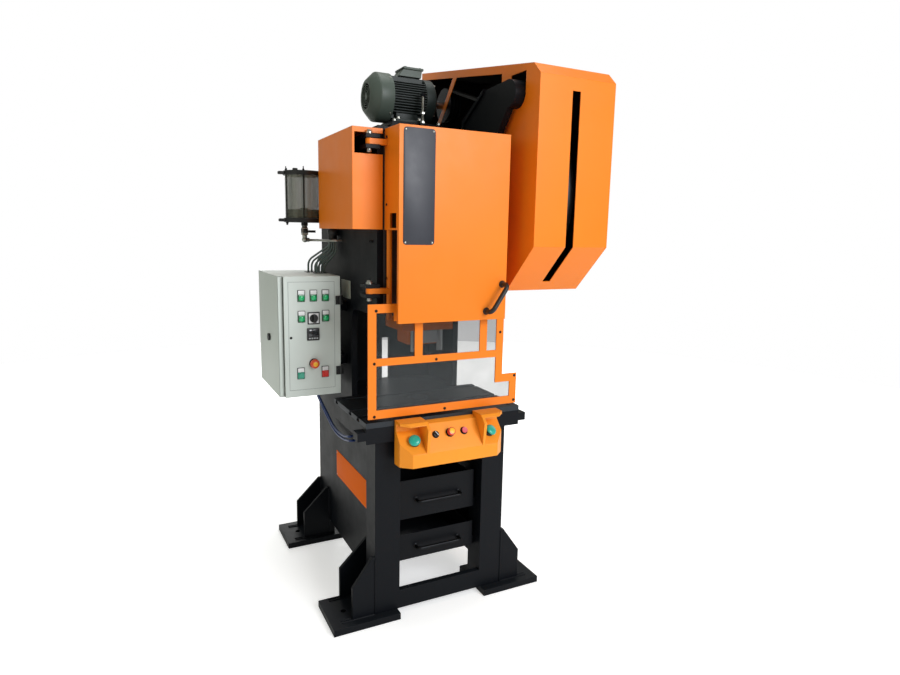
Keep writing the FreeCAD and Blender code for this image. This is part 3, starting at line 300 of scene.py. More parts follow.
# %% [markdown]
# ## Plastics and rubber
# Moulded plastics have an even colour and a fine mould texture. Caps of buttons are glossy,
# cable sheaths and belts are dull. Clear sheet is polycarbonate: it is thin, so it is drawn with
# a low alpha and a faint gloss rather than with true refraction, which keeps the view through it
# straight, as through a real thin sheet. The blank plates are anodised so deep that they show an
# even colour like a plastic's, so they share its recipe. Two painted-shade colours use it too: a
# near-black lining paints the shade inside the flywheel guard, and a darker grey paints the shade
# in the thin groove on the cabinet door.

# %% Plastics
MOULDED_EDGE_MM = 0.6
PLASTIC_IOR, CLEAR_IOR = 1.49, 1.58


def moulded(name, colour, gloss, grain_mm=0.8, depth_mm=0.02, coat=0.0):
    """Moulded plastic or rubber with a fine mould grain."""
    material, tree, shader = new_material(name)
    place = add(tree, "ShaderNodeTexCoord").outputs["Object"]
    grain = add(tree, "ShaderNodeTexNoise", None,
                {"Vector": place, "Scale": 1 / (grain_mm * MM), "Detail": 1.0})
    handled = add(tree, "ShaderNodeTexNoise", None, {"Vector": place, "Scale": 30.0, "Detail": 4.0})
    base = Vector(srgb(colour)[:3])
    shade = add(tree, "ShaderNodeMix", {"data_type": "RGBA"},
                {0: handled.outputs[0], 6: (*(base * 0.88), 1.0), 7: (*(base * 1.08), 1.0)})
    dull = add(tree, "ShaderNodeMapRange", None,
               {"Value": handled.outputs[0], "To Min": max(gloss - 0.06, 0.05),
                "To Max": gloss + 0.08})
    plug(tree, shader, {"Base Color": shade.outputs[2], "Roughness": dull.outputs[0],
                        "Normal": relief(tree, grain.outputs[0], depth_mm, MOULDED_EDGE_MM, 0.5),
                        "IOR": PLASTIC_IOR, "Coat Weight": coat})
    return material


def clear(name, colour, gloss, haze, streaks=(7.0, 7.0, 7.0), depth=0.08):
    """A thin clear sheet or tube: mostly see-through, with a little gloss and faint streaks."""
    material, tree, shader = new_material(name)
    place = add(tree, "ShaderNodeTexCoord").outputs["Object"]
    drawn = add(tree, "ShaderNodeMapping", None, {"Vector": place, "Scale": streaks})
    wiped = add(tree, "ShaderNodeTexNoise", None,
                {"Vector": drawn.outputs[0], "Scale": 1.0, "Detail": 6.0})
    dull = add(tree, "ShaderNodeMapRange", None,
               {"Value": wiped.outputs[0], "To Min": gloss, "To Max": gloss + 0.12})
    alpha = add(tree, "ShaderNodeMapRange", None,
                {"Value": wiped.outputs[0], "From Min": 0.3, "From Max": 0.8,
                 "To Min": haze, "To Max": haze + depth})
    plug(tree, shader, {"Base Color": srgb(colour), "Roughness": dull.outputs[0],
                        "Alpha": alpha.outputs[0], "IOR": CLEAR_IOR})
    return material


ABS_BLACK = moulded("black_abs", "#1A1B1C", 0.42)
ABS_GREY = moulded("grey_abs", "#B9BDBD", 0.40)
LABEL_WHITE = moulded("white_label_plastic", "#EDEEEE", 0.45)
BUTTON_GREEN = moulded("green_button_cap", "#12A56A", 0.28, coat=0.3)
LENS_GREEN = moulded("green_lamp_lens", "#19B56C", 0.22, coat=0.6)
LENS_DARK = moulded("dark_green_lamp_body", "#0B6A3C", 0.30, coat=0.3)
BUTTON_TEAL = moulded("teal_button_cap", "#2F9C80", 0.30, coat=0.3)
BUTTON_PINK = moulded("faded_red_button_cap", "#D9555C", 0.30, coat=0.3)
# darker grey that paints the shade in the thin groove on the cabinet door
GROOVE_SHADE_GREY = moulded("painted_groove_shade_grey", "#8D9694", 0.60)
PALM_GREEN = moulded("teal_palm_cap", "#1FA893", 0.30, coat=0.3)
BUTTON_RED = moulded("red_button_cap", "#D8352F", 0.28, coat=0.3)
STOP_RED = moulded("red_mushroom_cap", "#D94A22", 0.30, coat=0.3)
STOP_YELLOW = moulded("yellow_ring", "#F6B82A", 0.36)
DISPLAY = moulded("display_window", "#202326", 0.14, coat=0.5)
RUBBER = moulded("belt_rubber", "#161616", 0.72, grain_mm=1.2, depth_mm=0.10)
SHEATH = moulded("grey_cable_sheath", "#6E7E7C", 0.55)
HOSE = moulded("blue_air_hose", "#12306A", 0.30)
BLANK_DARK = moulded("dark_anodised_plate", "#282A33", 0.42)
# near-black sheet that paints the shade inside the flywheel guard
SHADE_LINING = moulded("painted_shade_lining", "#150D09", 0.95, grain_mm=2.0, depth_mm=0.3)
BLANK_GREY = moulded("grey_anodised_plate", "#B7BCAE", 0.50)
OIL = moulded("gear_oil", "#1C1412", 0.10, depth_mm=0.0)
SHEET_CLEAR = clear("smoked_polycarbonate_sheet", "#2C3234", 0.08, 0.32)
TUBE_CLEAR = clear("aged_acrylic_tube", "#6F7263", 0.05, 0.30, (60.0, 60.0, 0.8), 0.45)
print("plastics made, materials so far:", len(bpy.data.materials))

# %% [markdown]
# ## Finishes of the CAD pieces
# Each CAD node names a material slot in its record, so a table from slot to finish paints most
# of the machine at once. A few nodes differ from their slot's usual finish and are named.

# %% Paint the CAD pieces
SLOT_FINISH = {
    "orange_paint": ORANGE, "black_paint": BLACK, "grey_paint": GREY,
    "console_paint": ORANGE_CAST, "motor_paint": MOTOR, "drawer_paint": DRAWER,
    "ground_steel": GROUND, "zinc_steel": ZINC, "cast_iron": CAST_IRON, "bronze": BRONZE,
    "aluminium": ALUMINIUM, "belt_rubber": RUBBER, "cable_sheath": SHEATH, "hose": HOSE,
    "black_plastic": ABS_BLACK, "clear_sheet": SHEET_CLEAR, "clear_tube": TUBE_CLEAR,
    "green_plastic": BUTTON_GREEN, "red_plastic": BUTTON_RED, "chrome": CHROME,
}
NODE_FINISH = {
    "crankshaft": TURNED, "motor_rotor": TURNED, "adjusting_screw": TURNED,
    "bolster_plate": BOLSTER, "cabinet_lock": ABS_BLACK, "motor_pulley": BLACK,
    "drawer_upper_pull": BLACK_OXIDE, "drawer_lower_pull": BLACK_OXIDE,
}
slot_of = {row["node"]: row["material_slot"] for row in frame["record"]["subparts"]}
for name, obj in nodes.items():
    finish = NODE_FINISH.get(name, SLOT_FINISH[slot_of[name]])
    if not obj.material_slots:
        obj.data.materials.append(finish)
    for held in obj.material_slots:
        held.material = finish
print("painted", len(nodes), "CAD pieces")

# %% [markdown]
# ## Tools for small pieces
# Screws, fins, caps and rods are all made from three starting shapes: a block, a plate cut from
# an outline and a turned shape. Each is built round its own Z axis with bmesh operators, and one
# function turns it to its direction and adds it to a piece. Sizes are given in millimetres, as
# on a drawing.

# %% Starting shapes
CREASE = math.radians(32)
UP, LEFT, RIGHT = Vector((0, 0, 1)), Vector((-1, 0, 0)), Vector((1, 0, 0))
FRONT, REAR = Vector((0, -1, 0)), Vector((0, 1, 0))


def box_mm(node):
    """Lowest and highest corner of a CAD node, in millimetres."""
    low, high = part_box(node)
    return Vector(low) / MM, Vector(high) / MM


def soften(shape, edges, rounding, steps=2):
    """Round some edges of a shape."""
    bmesh.ops.bevel(shape, geom=edges, offset=rounding * MM, affect="EDGES", segments=steps,
                    profile=0.5, material=-1)


def block(low, high, rounding=0.0, steps=2):
    """A box between two corners with rounded edges."""
    shape = bmesh.new()
    size = (Vector(high) - Vector(low)) * MM
    middle = Matrix.Translation((Vector(high) + Vector(low)) * 0.5 * MM)
    bmesh.ops.create_cube(shape, size=1.0, matrix=middle @ Matrix.Diagonal((*size, 1.0)))
    if rounding:
        soften(shape, shape.edges[:], rounding, steps)
    return shape


def plate(outline, thickness, rounding=0.0):
    """An outline in the shape's own X-Y plane, raised along +Z, its upper rim rounded."""
    shape = bmesh.new()
    shape.faces.new([shape.verts.new((x * MM, y * MM, 0.0)) for x, y in outline])
    raised = bmesh.ops.extrude_face_region(shape, geom=shape.faces[:])["geom"]
    top = [part for part in raised if isinstance(part, bmesh.types.BMVert)]
    bmesh.ops.translate(shape, verts=top, vec=(0.0, 0.0, thickness * MM))
    if rounding:
        rim = [edge for edge in shape.edges if all(vert in top for vert in edge.verts)]
        soften(shape, rim, rounding)
    return shape


def turned(profile, steps=40, closed=False):
    """A lathe shape: (radius, height) points spun once round Z."""
    shape = bmesh.new()
    points = [shape.verts.new((r * MM, 0.0, h * MM)) for r, h in profile]
    pairs = list(zip(points, points[1:])) + ([(points[-1], points[0])] if closed else [])
    edges = [shape.edges.new(pair) for pair in pairs]
    bmesh.ops.spin(shape, geom=points + edges, cent=(0, 0, 0), axis=(0, 0, 1),
                   angle=2 * math.pi, steps=steps, use_merge=True)
    return shape


def facing(axis):
    """The turn that points Z along axis with Y upright; straight up or down needs no side turn."""
    axis = Vector(axis).normalized()
    if abs(axis.z) > 0.999:
        return Matrix.Rotation(0.0 if axis.z > 0 else math.pi, 4, "X")
    return axis.to_track_quat("Z", "Y").to_matrix().to_4x4()


def put(piece, shape, place=(0, 0, 0), axis=UP, turn=0.0):
    """Add a shape to a piece: its Z turned to axis, its origin at place."""
    bmesh.ops.remove_doubles(shape, verts=shape.verts[:], dist=1e-6)
    bmesh.ops.recalc_face_normals(shape, faces=shape.faces[:])
    moved = Matrix.Translation(Vector(place) * MM) @ facing(axis) @ Matrix.Rotation(turn, 4, "Z")
    bmesh.ops.transform(shape, matrix=moved, verts=shape.verts[:])
    carried = bpy.data.meshes.new("carried")
    shape.to_mesh(carried)
    shape.free()
    piece.from_mesh(carried)
    bpy.data.meshes.remove(carried)


def finish_piece(name, piece, finish, body, hides=()):
    """Turn a piece into an object that rides on a CAD body."""
    mesh = bpy.data.meshes.new(name)
    piece.to_mesh(mesh)
    piece.free()
    mesh.shade_smooth()
    mesh.set_sharp_from_angle(angle=CREASE)
    mesh.materials.append(finish)
    obj = link(name, mesh)
    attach(obj, body)
    if hides:
        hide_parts(*hides)


def single(name, shape, place, axis, finish, body, hides=()):
    """A piece of one shape."""
    piece = bmesh.new()
    put(piece, shape, place, axis)
    finish_piece(name, piece, finish, body, hides)


print("shape tools ready")

# %% [markdown]
# ## Fasteners
# A machine is held together by a few kinds of screw. A hexagon head is a six-sided prism with
# its top rim cut and a washer under it. A socket head is a turned drum whose recess has six flat
# walls, made by spinning a round recess and pushing its corners out. Rivets are low domes.

# %% Fasteners
def hexagon(across, height, chamfer=0.8):
    """A hexagon head or nut, across its flats."""
    shape = bmesh.new()
    corner = across / math.sqrt(3) * MM
    bmesh.ops.create_cone(shape, cap_ends=True, segments=6, radius1=corner, radius2=corner,
                          depth=height * MM, matrix=Matrix.Translation((0, 0, height * MM / 2)))
    rim = [edge for edge in shape.edges if all(vert.co.z > 0 for vert in edge.verts)]
    soften(shape, rim, chamfer)
    return shape


def hex_bolt(piece, place, axis, across):
    """A washer with a hexagon head on it, turned as chance left it."""
    washer = [(0, 0), (across * 0.85, 0), (across * 0.85, 1.6), (across * 0.8, 2.0), (0, 2.0)]
    put(piece, turned(washer, 24), place, axis)
    seat = Vector(place) + Vector(axis).normalized() * 1.9
    put(piece, hexagon(across, across * 0.62), seat, axis, turn=0.3)


def socket_screw(piece, place, axis, radius=6.0, height=5.0, domed=False):
    """A turned head with a six-sided recess."""
    recess = radius * 0.42
    drum = ((1, 0), (1, 0.86), (0.9, 1))
    button = ((1, 0), (1, 0.3), (0.86, 0.75), (0.6, 1))
    rim = [(radius * out, height * up) for out, up in (button if domed else drum)]
    hole = [(recess, height), (recess, height * 0.4), (0, height * 0.4)]
    shape = turned([(0, 0)] + rim + hole, 24)
    for vert in shape.verts:
        across = math.hypot(vert.co.x, vert.co.y)
        if abs(across - recess * MM) < 1e-6:
            angle = math.atan2(vert.co.y, vert.co.x) % (math.pi / 3)
            stretch = 1 / math.cos(angle - math.pi / 6)
            vert.co.x, vert.co.y = vert.co.x * stretch, vert.co.y * stretch
    put(piece, shape, place, axis)


def rivet(piece, place, axis, radius):
    """A low dome."""
    dome = [(radius * math.cos(a), radius * 0.45 * math.sin(a))
            for a in (0.0, 0.4, 0.8, 1.2, math.pi / 2)]
    put(piece, turned([(0, 0)] + dome[:-1] + [(0, radius * 0.45)], 16), place, axis)


def thread(piece, foot, length, radius, pitch=2.0):
    """An upright threaded rod, one ridge to each pitch."""
    ridges = [(radius * (1.0 if i % 2 else 0.86), i * pitch / 2)
              for i in range(int(length / pitch * 2) + 1)]
    put(piece, turned([(0, 0)] + ridges + [(0, ridges[-1][1])], 16), foot)


print("fasteners ready")

# %% [markdown]
# ## Motor
# A cast induction motor has a ribbed housing between two end shields, and a pressed cowl over
# its fan. On a flanged drum the ribs stand level on the sides and upright above and below, so
# they are thin blocks that cross the drum. The cowl is a turned sheet with a wire grille.

# %% Motor housing
pulley_low, pulley_high = box_mm("motor_pulley")
stator_low = box_mm("motor_stator")[0]
MOTOR_Y, MOTOR_Z = (pulley_low.y + pulley_high.y) / 2, (pulley_low.z + pulley_high.z) / 2
SHAFT = Vector((0, MOTOR_Y, MOTOR_Z))
DRUM_START, DRUM_R, FIN_REACH, SHIELD_START = 16, 84, 98.5, 176
FIN_PITCH, FIN_HALF, FINS, UPRIGHT_FINS = 10.6, 1.7, range(-6, 7), range(-4, 5)
FEET_X, FOOT_BOLTS_X = (28, 156), (42, 142)


def around(count, start):
    """Directions spaced evenly round the motor's shaft, the first one start radians off level."""
    angles = [start + k * 2 * math.pi / count for k in range(count)]
    return [Vector((0, math.cos(angle), math.sin(angle))) for angle in angles]


housing = bmesh.new()
core = [(20, 14), (DRUM_R, 14), (DRUM_R, SHIELD_START + 2), (20, SHIELD_START + 2)]
ring = [(20, -5), (97, -5), (99, -3), (99, 16), (97, 18), (20, 18)]
shield = [(16, 176), (97, 176), (99, 178), (99, 215), (97, 221), (88, 227), (66, 240),
          (60, 241.5), (40, 241.5), (38, 238), (22, 238), (16, 236)]
for profile in (core, ring, shield):
    put(housing, turned(profile, 64, closed=True), SHAFT, RIGHT)
for step in FINS:
    off = step * FIN_PITCH
    reach = math.sqrt(FIN_REACH ** 2 - off ** 2)
    level = SHAFT + UP * off
    half = Vector((0, reach, FIN_HALF))
    put(housing, block(level - half + RIGHT * DRUM_START,
                       level + half + RIGHT * (SHIELD_START + 1), 0.6, 1))
    if step in UPRIGHT_FINS:
        upright = SHAFT + REAR * off
        half = Vector((0, FIN_HALF, reach))
        put(housing, block(upright - half + RIGHT * DRUM_START,
                           upright + half + RIGHT * (SHIELD_START + 1), 0.6, 1))
for side in (-1, 1):
    foot = MOTOR_Y + side * 82
    near, far = sorted((foot - 18 * side, foot - 40 * side))
    put(housing, block((FEET_X[0], foot - 18, stator_low.z),
                       (FEET_X[1], foot + 18, stator_low.z + 14), 2.5))
    put(housing, block((FEET_X[0] + 12, near, stator_low.z + 0.5),
                       (FEET_X[1] - 12, far, MOTOR_Z - 50), 3))
for out in around(4, math.pi / 4):
    boss = [(0, 0), (9, 0), (9, 40), (7.5, 42), (0, 42)]
    put(housing, turned(boss, 20), SHAFT + RIGHT * 179 + out * 90, RIGHT)
finish_piece("motor_housing", housing, MOTOR_DARK, "frame", ["motor_stator"])

bolts = bmesh.new()
for out in around(4, math.pi / 4):
    hex_bolt(bolts, SHAFT + RIGHT * 221 + out * 89, RIGHT, 9)
for side in (-1, 1):
    for x in FOOT_BOLTS_X:
        hex_bolt(bolts, (x, MOTOR_Y + side * 86, stator_low.z + 14), UP, 15)
finish_piece("motor_bolts", bolts, ZINC, "frame")
print("motor fins, level and upright:", len(FINS), len(UPRIGHT_FINS))

# %% Fan cowl with its grille
cowl_low, cowl_high = box_mm("motor_fan_cowl")
COWL_R, WIRE_R, GRILLE_R = (cowl_high.z - cowl_low.z) / 2, 1.5, 57
back_x = cowl_low.x
cowl = bmesh.new()
skin = [(56, back_x), (67, back_x), (71, back_x + 1.2), (103.5, back_x + 33.5),
        (105.6, back_x + 37), (COWL_R, back_x + 42), (COWL_R, 17), (COWL_R - 1, 19),
        (COWL_R - 3, 19), (COWL_R - 3.5, back_x + 42), (68, back_x + 4), (56, back_x + 3)]
put(cowl, turned(skin, 72, closed=True), SHAFT, RIGHT)
for radius in (15, 25, 35, 45, 55):
    wire = [(radius + WIRE_R * math.cos(a), back_x + 3 + WIRE_R * math.sin(a))
            for a in (k * math.pi / 4 for k in range(8))]
    put(cowl, turned(wire, 40, closed=True), SHAFT, RIGHT)
spoke = [(0, 0), (1.6, 0), (1.6, GRILLE_R), (0, GRILLE_R)]
for out in around(6, 0.2):
    put(cowl, turned(spoke, 8), SHAFT + RIGHT * (back_x + 4.5), out)
put(cowl, turned([(0, 0), (13, 0), (15, 1.5), (15, 3), (0, 3)], 24),
    SHAFT + RIGHT * (back_x + 1), RIGHT)
finish_piece("motor_cowl", cowl, MOTOR, "frame", ["motor_fan_cowl"])

cowl_screws = bmesh.new()
for out in around(4, math.pi / 4):
    socket_screw(cowl_screws, SHAFT + RIGHT * 8 + out * (COWL_R - 0.5), out, 4.5, 3, True)
finish_piece("motor_cowl_screws", cowl_screws, ZINC, "frame")
print("cowl radius:", round(COWL_R, 1), "mm")

# %% [markdown]
# ## Terminal box and tension rod
# The wires of the motor enter a cast box with a screwed lid. Beside the motor stands the long
# screw that lifts its plate to tighten the belts: a threaded rod with a nut on each side of a
# lug. Ridges spun from a zigzag line read as thread, and a true helix isn't needed for that.

# %% Terminal box and tension rod
lid_low, lid_high = box_mm("motor_terminal_box")
lid = bmesh.new()
put(lid, block((lid_low.x + 20, lid_low.y - 1.5, lid_high.z - 9),
               (lid_high.x + 1.5, lid_high.y + 1.5, lid_high.z + 1.5), 2.5, 3))
for x in (lid_low.x + 34, lid_high.x - 12):
    for y in (lid_low.y + 12, lid_high.y - 12):
        socket_screw(lid, (x, y, lid_high.z + 1), UP, 5, 4)
finish_piece("terminal_box_lid", lid, MOTOR, "frame")
wire_gland = bmesh.new()
gland_at = Vector((122, lid_high.y - 6, lid_high.z - 28))
put(wire_gland, hexagon(24, 9), gland_at, REAR)
put(wire_gland, turned([(0, 0), (9.5, 0), (9.5, 8), (7, 14), (0, 14)], 24), gland_at + REAR * 8, REAR)
finish_piece("terminal_box_gland", wire_gland, ABS_BLACK, "frame")

base_low, base_high = box_mm("motor_base")
ROD_X, ROD_FOOT = 139.0, 1870
rod_y = base_low.y - 15
lug = bmesh.new()
put(lug, block((ROD_X - 18, rod_y - 14, base_high.z - 14),
               (ROD_X + 18, base_low.y + 2, base_high.z - 2), 2))
put(lug, turned([(0, 0), (20, 0), (20, 5), (14, 9), (0, 9)], 32), (ROD_X, rod_y, ROD_FOOT))
put(lug, hexagon(17, 13), (ROD_X, rod_y, ROD_FOOT + 220))
finish_piece("tension_lug", lug, BLACK, "frame")
tension = bmesh.new()
thread(tension, (ROD_X, rod_y, ROD_FOOT + 6), 222, 6.5)
for height in (base_high.z - 25, base_high.z - 2, ROD_FOOT + 144):
    put(tension, hexagon(19, 10), (ROD_X, rod_y, height), turn=0.4)
finish_piece("tension_rod", tension, ZINC, "frame")
print("tension rod at", ROD_X, round(rod_y, 1))

# %% [markdown]
# ## Oil reservoir
# The crank is oiled from a clear cylinder that is clamped between two caps by tie rods. The
# rods stick out past their nuts, the lower caps' outlet feeds a small valve, and the oil stands
# low in the tube. The oil is its own turned piece, a little narrower than the bore.

# %% Reservoir
tube_low, tube_high = box_mm("reservoir_tube")
RES = Vector(((tube_low.x + tube_high.x) / 2, (tube_low.y + tube_high.y) / 2, 0))
TUBE_R = (tube_high.x - tube_low.x) / 2
CAP_T, OIL_LEVEL = 18.0, 1583.0
VALVE_Z, ELBOW_Z = 1476, 1457
side_x = box_mm("side_plate_left")[0].x

caps = bmesh.new()
for low in (tube_low.z - CAP_T, tube_high.z):
    rim = [(0, 0), (TUBE_R + 5, 0), (TUBE_R + 7, 1.5), (TUBE_R + 7, CAP_T - 1.5),
           (TUBE_R + 5, CAP_T), (0, CAP_T)]
    put(caps, turned(rim, 64), RES + UP * low)
    put(caps, block((RES.x - TUBE_R - 29, RES.y - 13, low + 2),
                    (RES.x - 50, RES.y + 13, low + 15), 4, 3))
    put(caps, block((RES.x, RES.y - 16, low + 2), (side_x, RES.y + 16, low + 12), 1.5))
    put(caps, block((side_x - 6, RES.y - 22, low - 4), (side_x, RES.y + 22, low + 20), 2))
put(caps, turned([(0, 0), (12, 0), (14, 2), (14, 15), (0, 15)], 32),
    RES + UP * (tube_low.z - CAP_T - 14))
put(caps, turned([(0, 0), (14, 0), (14, 7), (11, 8), (11, 13), (9.5, 15), (0, 15)], 28),
    RES + Vector((-30, 26, tube_high.z + CAP_T)))
finish_piece("reservoir_end_caps", caps, ABS_BLACK, "frame", ["reservoir_caps"])

TIE_LOW, TIE_HIGH = 1518, 1758
ties = bmesh.new()
for sixth in range(6):
    angle = math.radians(15 + 60 * sixth)
    foot = RES + Vector((math.cos(angle), math.sin(angle), 0)) * (TUBE_R + 3.6)
    put(ties, turned([(0, TIE_LOW), (2.2, TIE_LOW + 1), (2.2, TIE_HIGH - 1), (0, TIE_HIGH)], 12), foot)
    put(ties, hexagon(8, 5, 0.4), foot + UP * (tube_high.z + CAP_T))
    put(ties, hexagon(8, 5, 0.4), foot + UP * (tube_low.z - CAP_T - 5))
for low in (tube_low.z - CAP_T, tube_high.z):
    for side in (-1, 1):
        socket_screw(ties, (side_x - 6, RES.y + side * 19.5, low + 8), LEFT, 3.5, 3)
finish_piece("reservoir_tie_rods", ties, BLACK_OXIDE, "frame")

bore = TUBE_R - 4.5
pool = [(0, tube_low.z + 1), (bore, tube_low.z + 1), (bore, OIL_LEVEL), (bore - 2, OIL_LEVEL - 1.2),
        (0, OIL_LEVEL - 1.2)]
single("reservoir_oil", turned(pool, 56), RES, UP, OIL, "frame")
dip = bmesh.new()
rod = [(0, OIL_LEVEL - 5), (4, OIL_LEVEL - 5), (4, tube_high.z - 1), (0, tube_high.z - 1)]
put(dip, turned(rod, 16), RES)
put(dip, turned([(4, 0), (16, 0), (17, 2), (17, 10), (16, 12), (4, 12)], 24, closed=True),
    RES + UP * (OIL_LEVEL - 4))
finish_piece("reservoir_dip_rod", dip, ALUMINIUM, "frame")

valve = bmesh.new()
drum = [(0, 0), (9, 0), (12, 3), (12, 10), (15, 12), (15, 27), (12, 29), (12, 38), (0, 38)]
put(valve, turned(drum, 28), RES + UP * VALVE_Z)
put(valve, block((RES.x - 6, RES.y - 26, VALVE_Z + 10), (RES.x + 6, RES.y - 12, VALVE_Z + 24), 2))
finish_piece("oil_valve_body", valve, ABS_BLACK, "frame")
elbow = bmesh.new()
put(elbow, hexagon(18, 12, 1), RES + UP * (ELBOW_Z + 7))
ball = [(0, -9), (5, -8), (8, -5), (9, 0), (8, 5), (5, 8), (0, 9)]
put(elbow, turned(ball, 24), RES + UP * ELBOW_Z)
put(elbow, hexagon(15, 14, 1), RES + RIGHT * 6 + UP * ELBOW_Z, RIGHT)
finish_piece("oil_elbow", elbow, ZINC, "frame")
print("reservoir with its rods, oil up to", OIL_LEVEL)

# %% [markdown]
# ## Blank plates and rivets
# A press carries anodised plates for its maker and its data. They are left blank here. Each is
# an outline with round corners, raised by the thickness of the sheet, and held by rivets.

# %% Blank plates
CORNER_STEPS = 5


def rounded(x0, x1, y0, y1, radius):
    """The outline of a rectangle with round corners."""
    corners = ((x1 - radius, y1 - radius), (x0 + radius, y1 - radius),
               (x0 + radius, y0 + radius), (x1 - radius, y0 + radius))
    return [(cx + radius * math.cos((k + s / CORNER_STEPS) * math.pi / 2),
             cy + radius * math.sin((k + s / CORNER_STEPS) * math.pi / 2))
            for k, (cx, cy) in enumerate(corners) for s in range(CORNER_STEPS + 1)]


door_low = box_mm("door_cover")[0]
single("door_blank_plate", plate(rounded(-206, -86, 1455, 1852, 12), 2.0, 0.8), REAR * door_low.y,
       FRONT, BLANK_DARK, "guard_door")
rivets = bmesh.new()
for x in (-198, -94):
    for z in (1463, 1844):
        rivet(rivets, (x, door_low.y - 2, z), FRONT, 3.5)
finish_piece("door_plate_rivets", rivets, ZINC, "guard_door")

single("side_blank_plate", plate(rounded(-148, 270, 380, 500, 6), 1.5, 0.6), RIGHT * side_x, LEFT,
       ORANGE_PLATE, "frame")
single("data_blank_plate", plate(rounded(-55, 65, 1220, 1295, 4), 1.5, 0.6), RIGHT * side_x, LEFT,
       BLANK_GREY, "frame")
side_rivets = bmesh.new()
for ys, zs in (((-262, 140), (388, 492)), ((-59, 49), (1226, 1289))):
    for y in ys:
        for z in zs:
            rivet(side_rivets, (side_x - 1.5, y, z), LEFT, 3.0)
finish_piece("side_plate_rivets", side_rivets, ZINC, "frame")
side_bolts = bmesh.new()
for y in (-329, -309):
    hex_bolt(side_bolts, (side_x, y, 1462), LEFT, 7)
finish_piece("side_bolts", side_bolts, BLACK_OXIDE, "frame")
print("plates: 3")

# %% [markdown]
# ## Door and guard
# The bow handle stands on two round flanges, the cover is screwed to its hinge post, and the
# clear sheet is held to its frame by button-head screws. All of them ride on the door's body.

# %% Door and guard screws
flanges = bmesh.new()
for x, z in ((137, 1209), (204, 1310)):
    put(flanges, turned([(0, 0), (14, 0), (14, 2.5), (12.5, 4.5), (10.5, 9), (0, 9)], 32),
        (x, door_low.y, z), FRONT)
finish_piece("handle_flanges", flanges, ABS_BLACK, "guard_door")

SHEET_SCREWS = ((-286, 1219), (-293, 1027), (-293, 829), (-45, 1027), (-6, 831), (234, 1116),
                (307, 935), (307, 833))
POST_SCREWS_Z = (1830, 1595, 1330)
frame_y = box_mm("guard_frame")[0].y
screws = bmesh.new()
for x, z in SHEET_SCREWS:
    socket_screw(screws, (x, frame_y, z), FRONT, 5.5, 3.2, True)
for z in POST_SCREWS_Z:
    socket_screw(screws, (door_low.x, -401, z), LEFT, 5, 3, True)
finish_piece("guard_screws", screws, BLACK_OXIDE, "guard_door")

pins = bmesh.new()
pin_low, pin_high = box_mm("door_hinge_pins")
pin_x, pin_y = (pin_low.x + pin_high.x) / 2, (pin_low.y + pin_high.y) / 2
for z in (pin_low.z + 30, pin_high.z - 32):
    for end, way in ((32, 1), (-30, -1)):
        put(pins, hexagon(15, 7), (pin_x, pin_y, z + end), UP * way)
finish_piece("hinge_pin_nuts", pins, ZINC, "frame")
print("door screws and handle flanges made")

# %% [markdown]
# ## Control cabinet
# A sheet steel cabinet gets its look from small bought parts: square signal lamps and buttons
# with a tag above each, a cam switch on a square plate, a counter, a mushroom stop and two black
# hinges. Each kind is made once by a function, and then set at its places on the door.

# %% Cabinet door parts
cabinet_low, cabinet_high = box_mm("cabinet_door")
CAB_Y = cabinet_low.y
LAMPS = ((-458, 1240), (-409, 1240), (-360, 1240), (-458, 1157), (-360, 1157))
START, HALT, STOP = (-464, 918), (-364, 918), (-410, 964)
KNOB, COUNTER, LATCH = (-409, 1149), (-412, 1084), (-501, 1073)


def on_front(x, z, y=CAB_Y):
    """A point on a plane that faces the operator."""
    return Vector((x, y, z))


def tablet(piece, x, z, width, height, back, front, rounding=1.0, corner=2.5):
    """A rounded tablet on the cabinet front, between two depths measured from the door."""
    half_w, half_h = width / 2, height / 2
    put(piece, plate(rounded(x - half_w, x + half_w, z - half_h, z + half_h, corner), front - back,
                     rounding), (0, CAB_Y - back, 0), FRONT)


bezels, tags, squares, lenses = (bmesh.new() for _ in range(4))
above_buttons = [(x, z + 8) for x, z in (START, HALT)]
for x, z in (*LAMPS, *above_buttons):
    tablet(bezels, x, z, 30, 47, 0, 3.5)
    tablet(tags, x, z + 13.5, 25, 16, 3, 4.8, 0.4, 1)
for x, z in LAMPS:
    tablet(squares, x, z - 8, 27, 28, 3, 8, 1.2, 3)
    dome = [(0, 0), (10.5, 0), (10.5, 2.2), (9, 3.6), (6, 4.7), (3, 5.2), (0, 5.3)]
    put(lenses, turned(dome, 32), on_front(x, z - 8, CAB_Y - 7), FRONT)
finish_piece("lamp_bodies", squares, LENS_DARK, "cabinet_door")
finish_piece("lamp_lenses", lenses, LENS_GREEN, "cabinet_door", ["cabinet_lamps"])
tablet(bezels, *KNOB, 50, 50, 0, 2.5)
tablet(bezels, *COUNTER, 50, 50, 0, 7, 1.5, 3)
finish_piece("device_bezels", bezels, ABS_BLACK, "cabinet_door")
tablet(tags, *KNOB, 40, 40, 2, 4, 0.5, 1)
finish_piece("device_tags", tags, LABEL_WHITE, "cabinet_door")
window = bmesh.new()
tablet(window, COUNTER[0], COUNTER[1] + 6, 40, 28, 6, 7.6, 0.4, 1)
finish_piece("counter_window", window, DISPLAY, "cabinet_door")
keys = bmesh.new()
for k in range(4):
    tablet(keys, COUNTER[0] - 15 + k * 10, COUNTER[1] - 16, 7, 5, 6, 8, 0.6, 1)
finish_piece("counter_keys", keys, ABS_GREY, "cabinet_door")
print("cabinet lamps:", len(LAMPS))

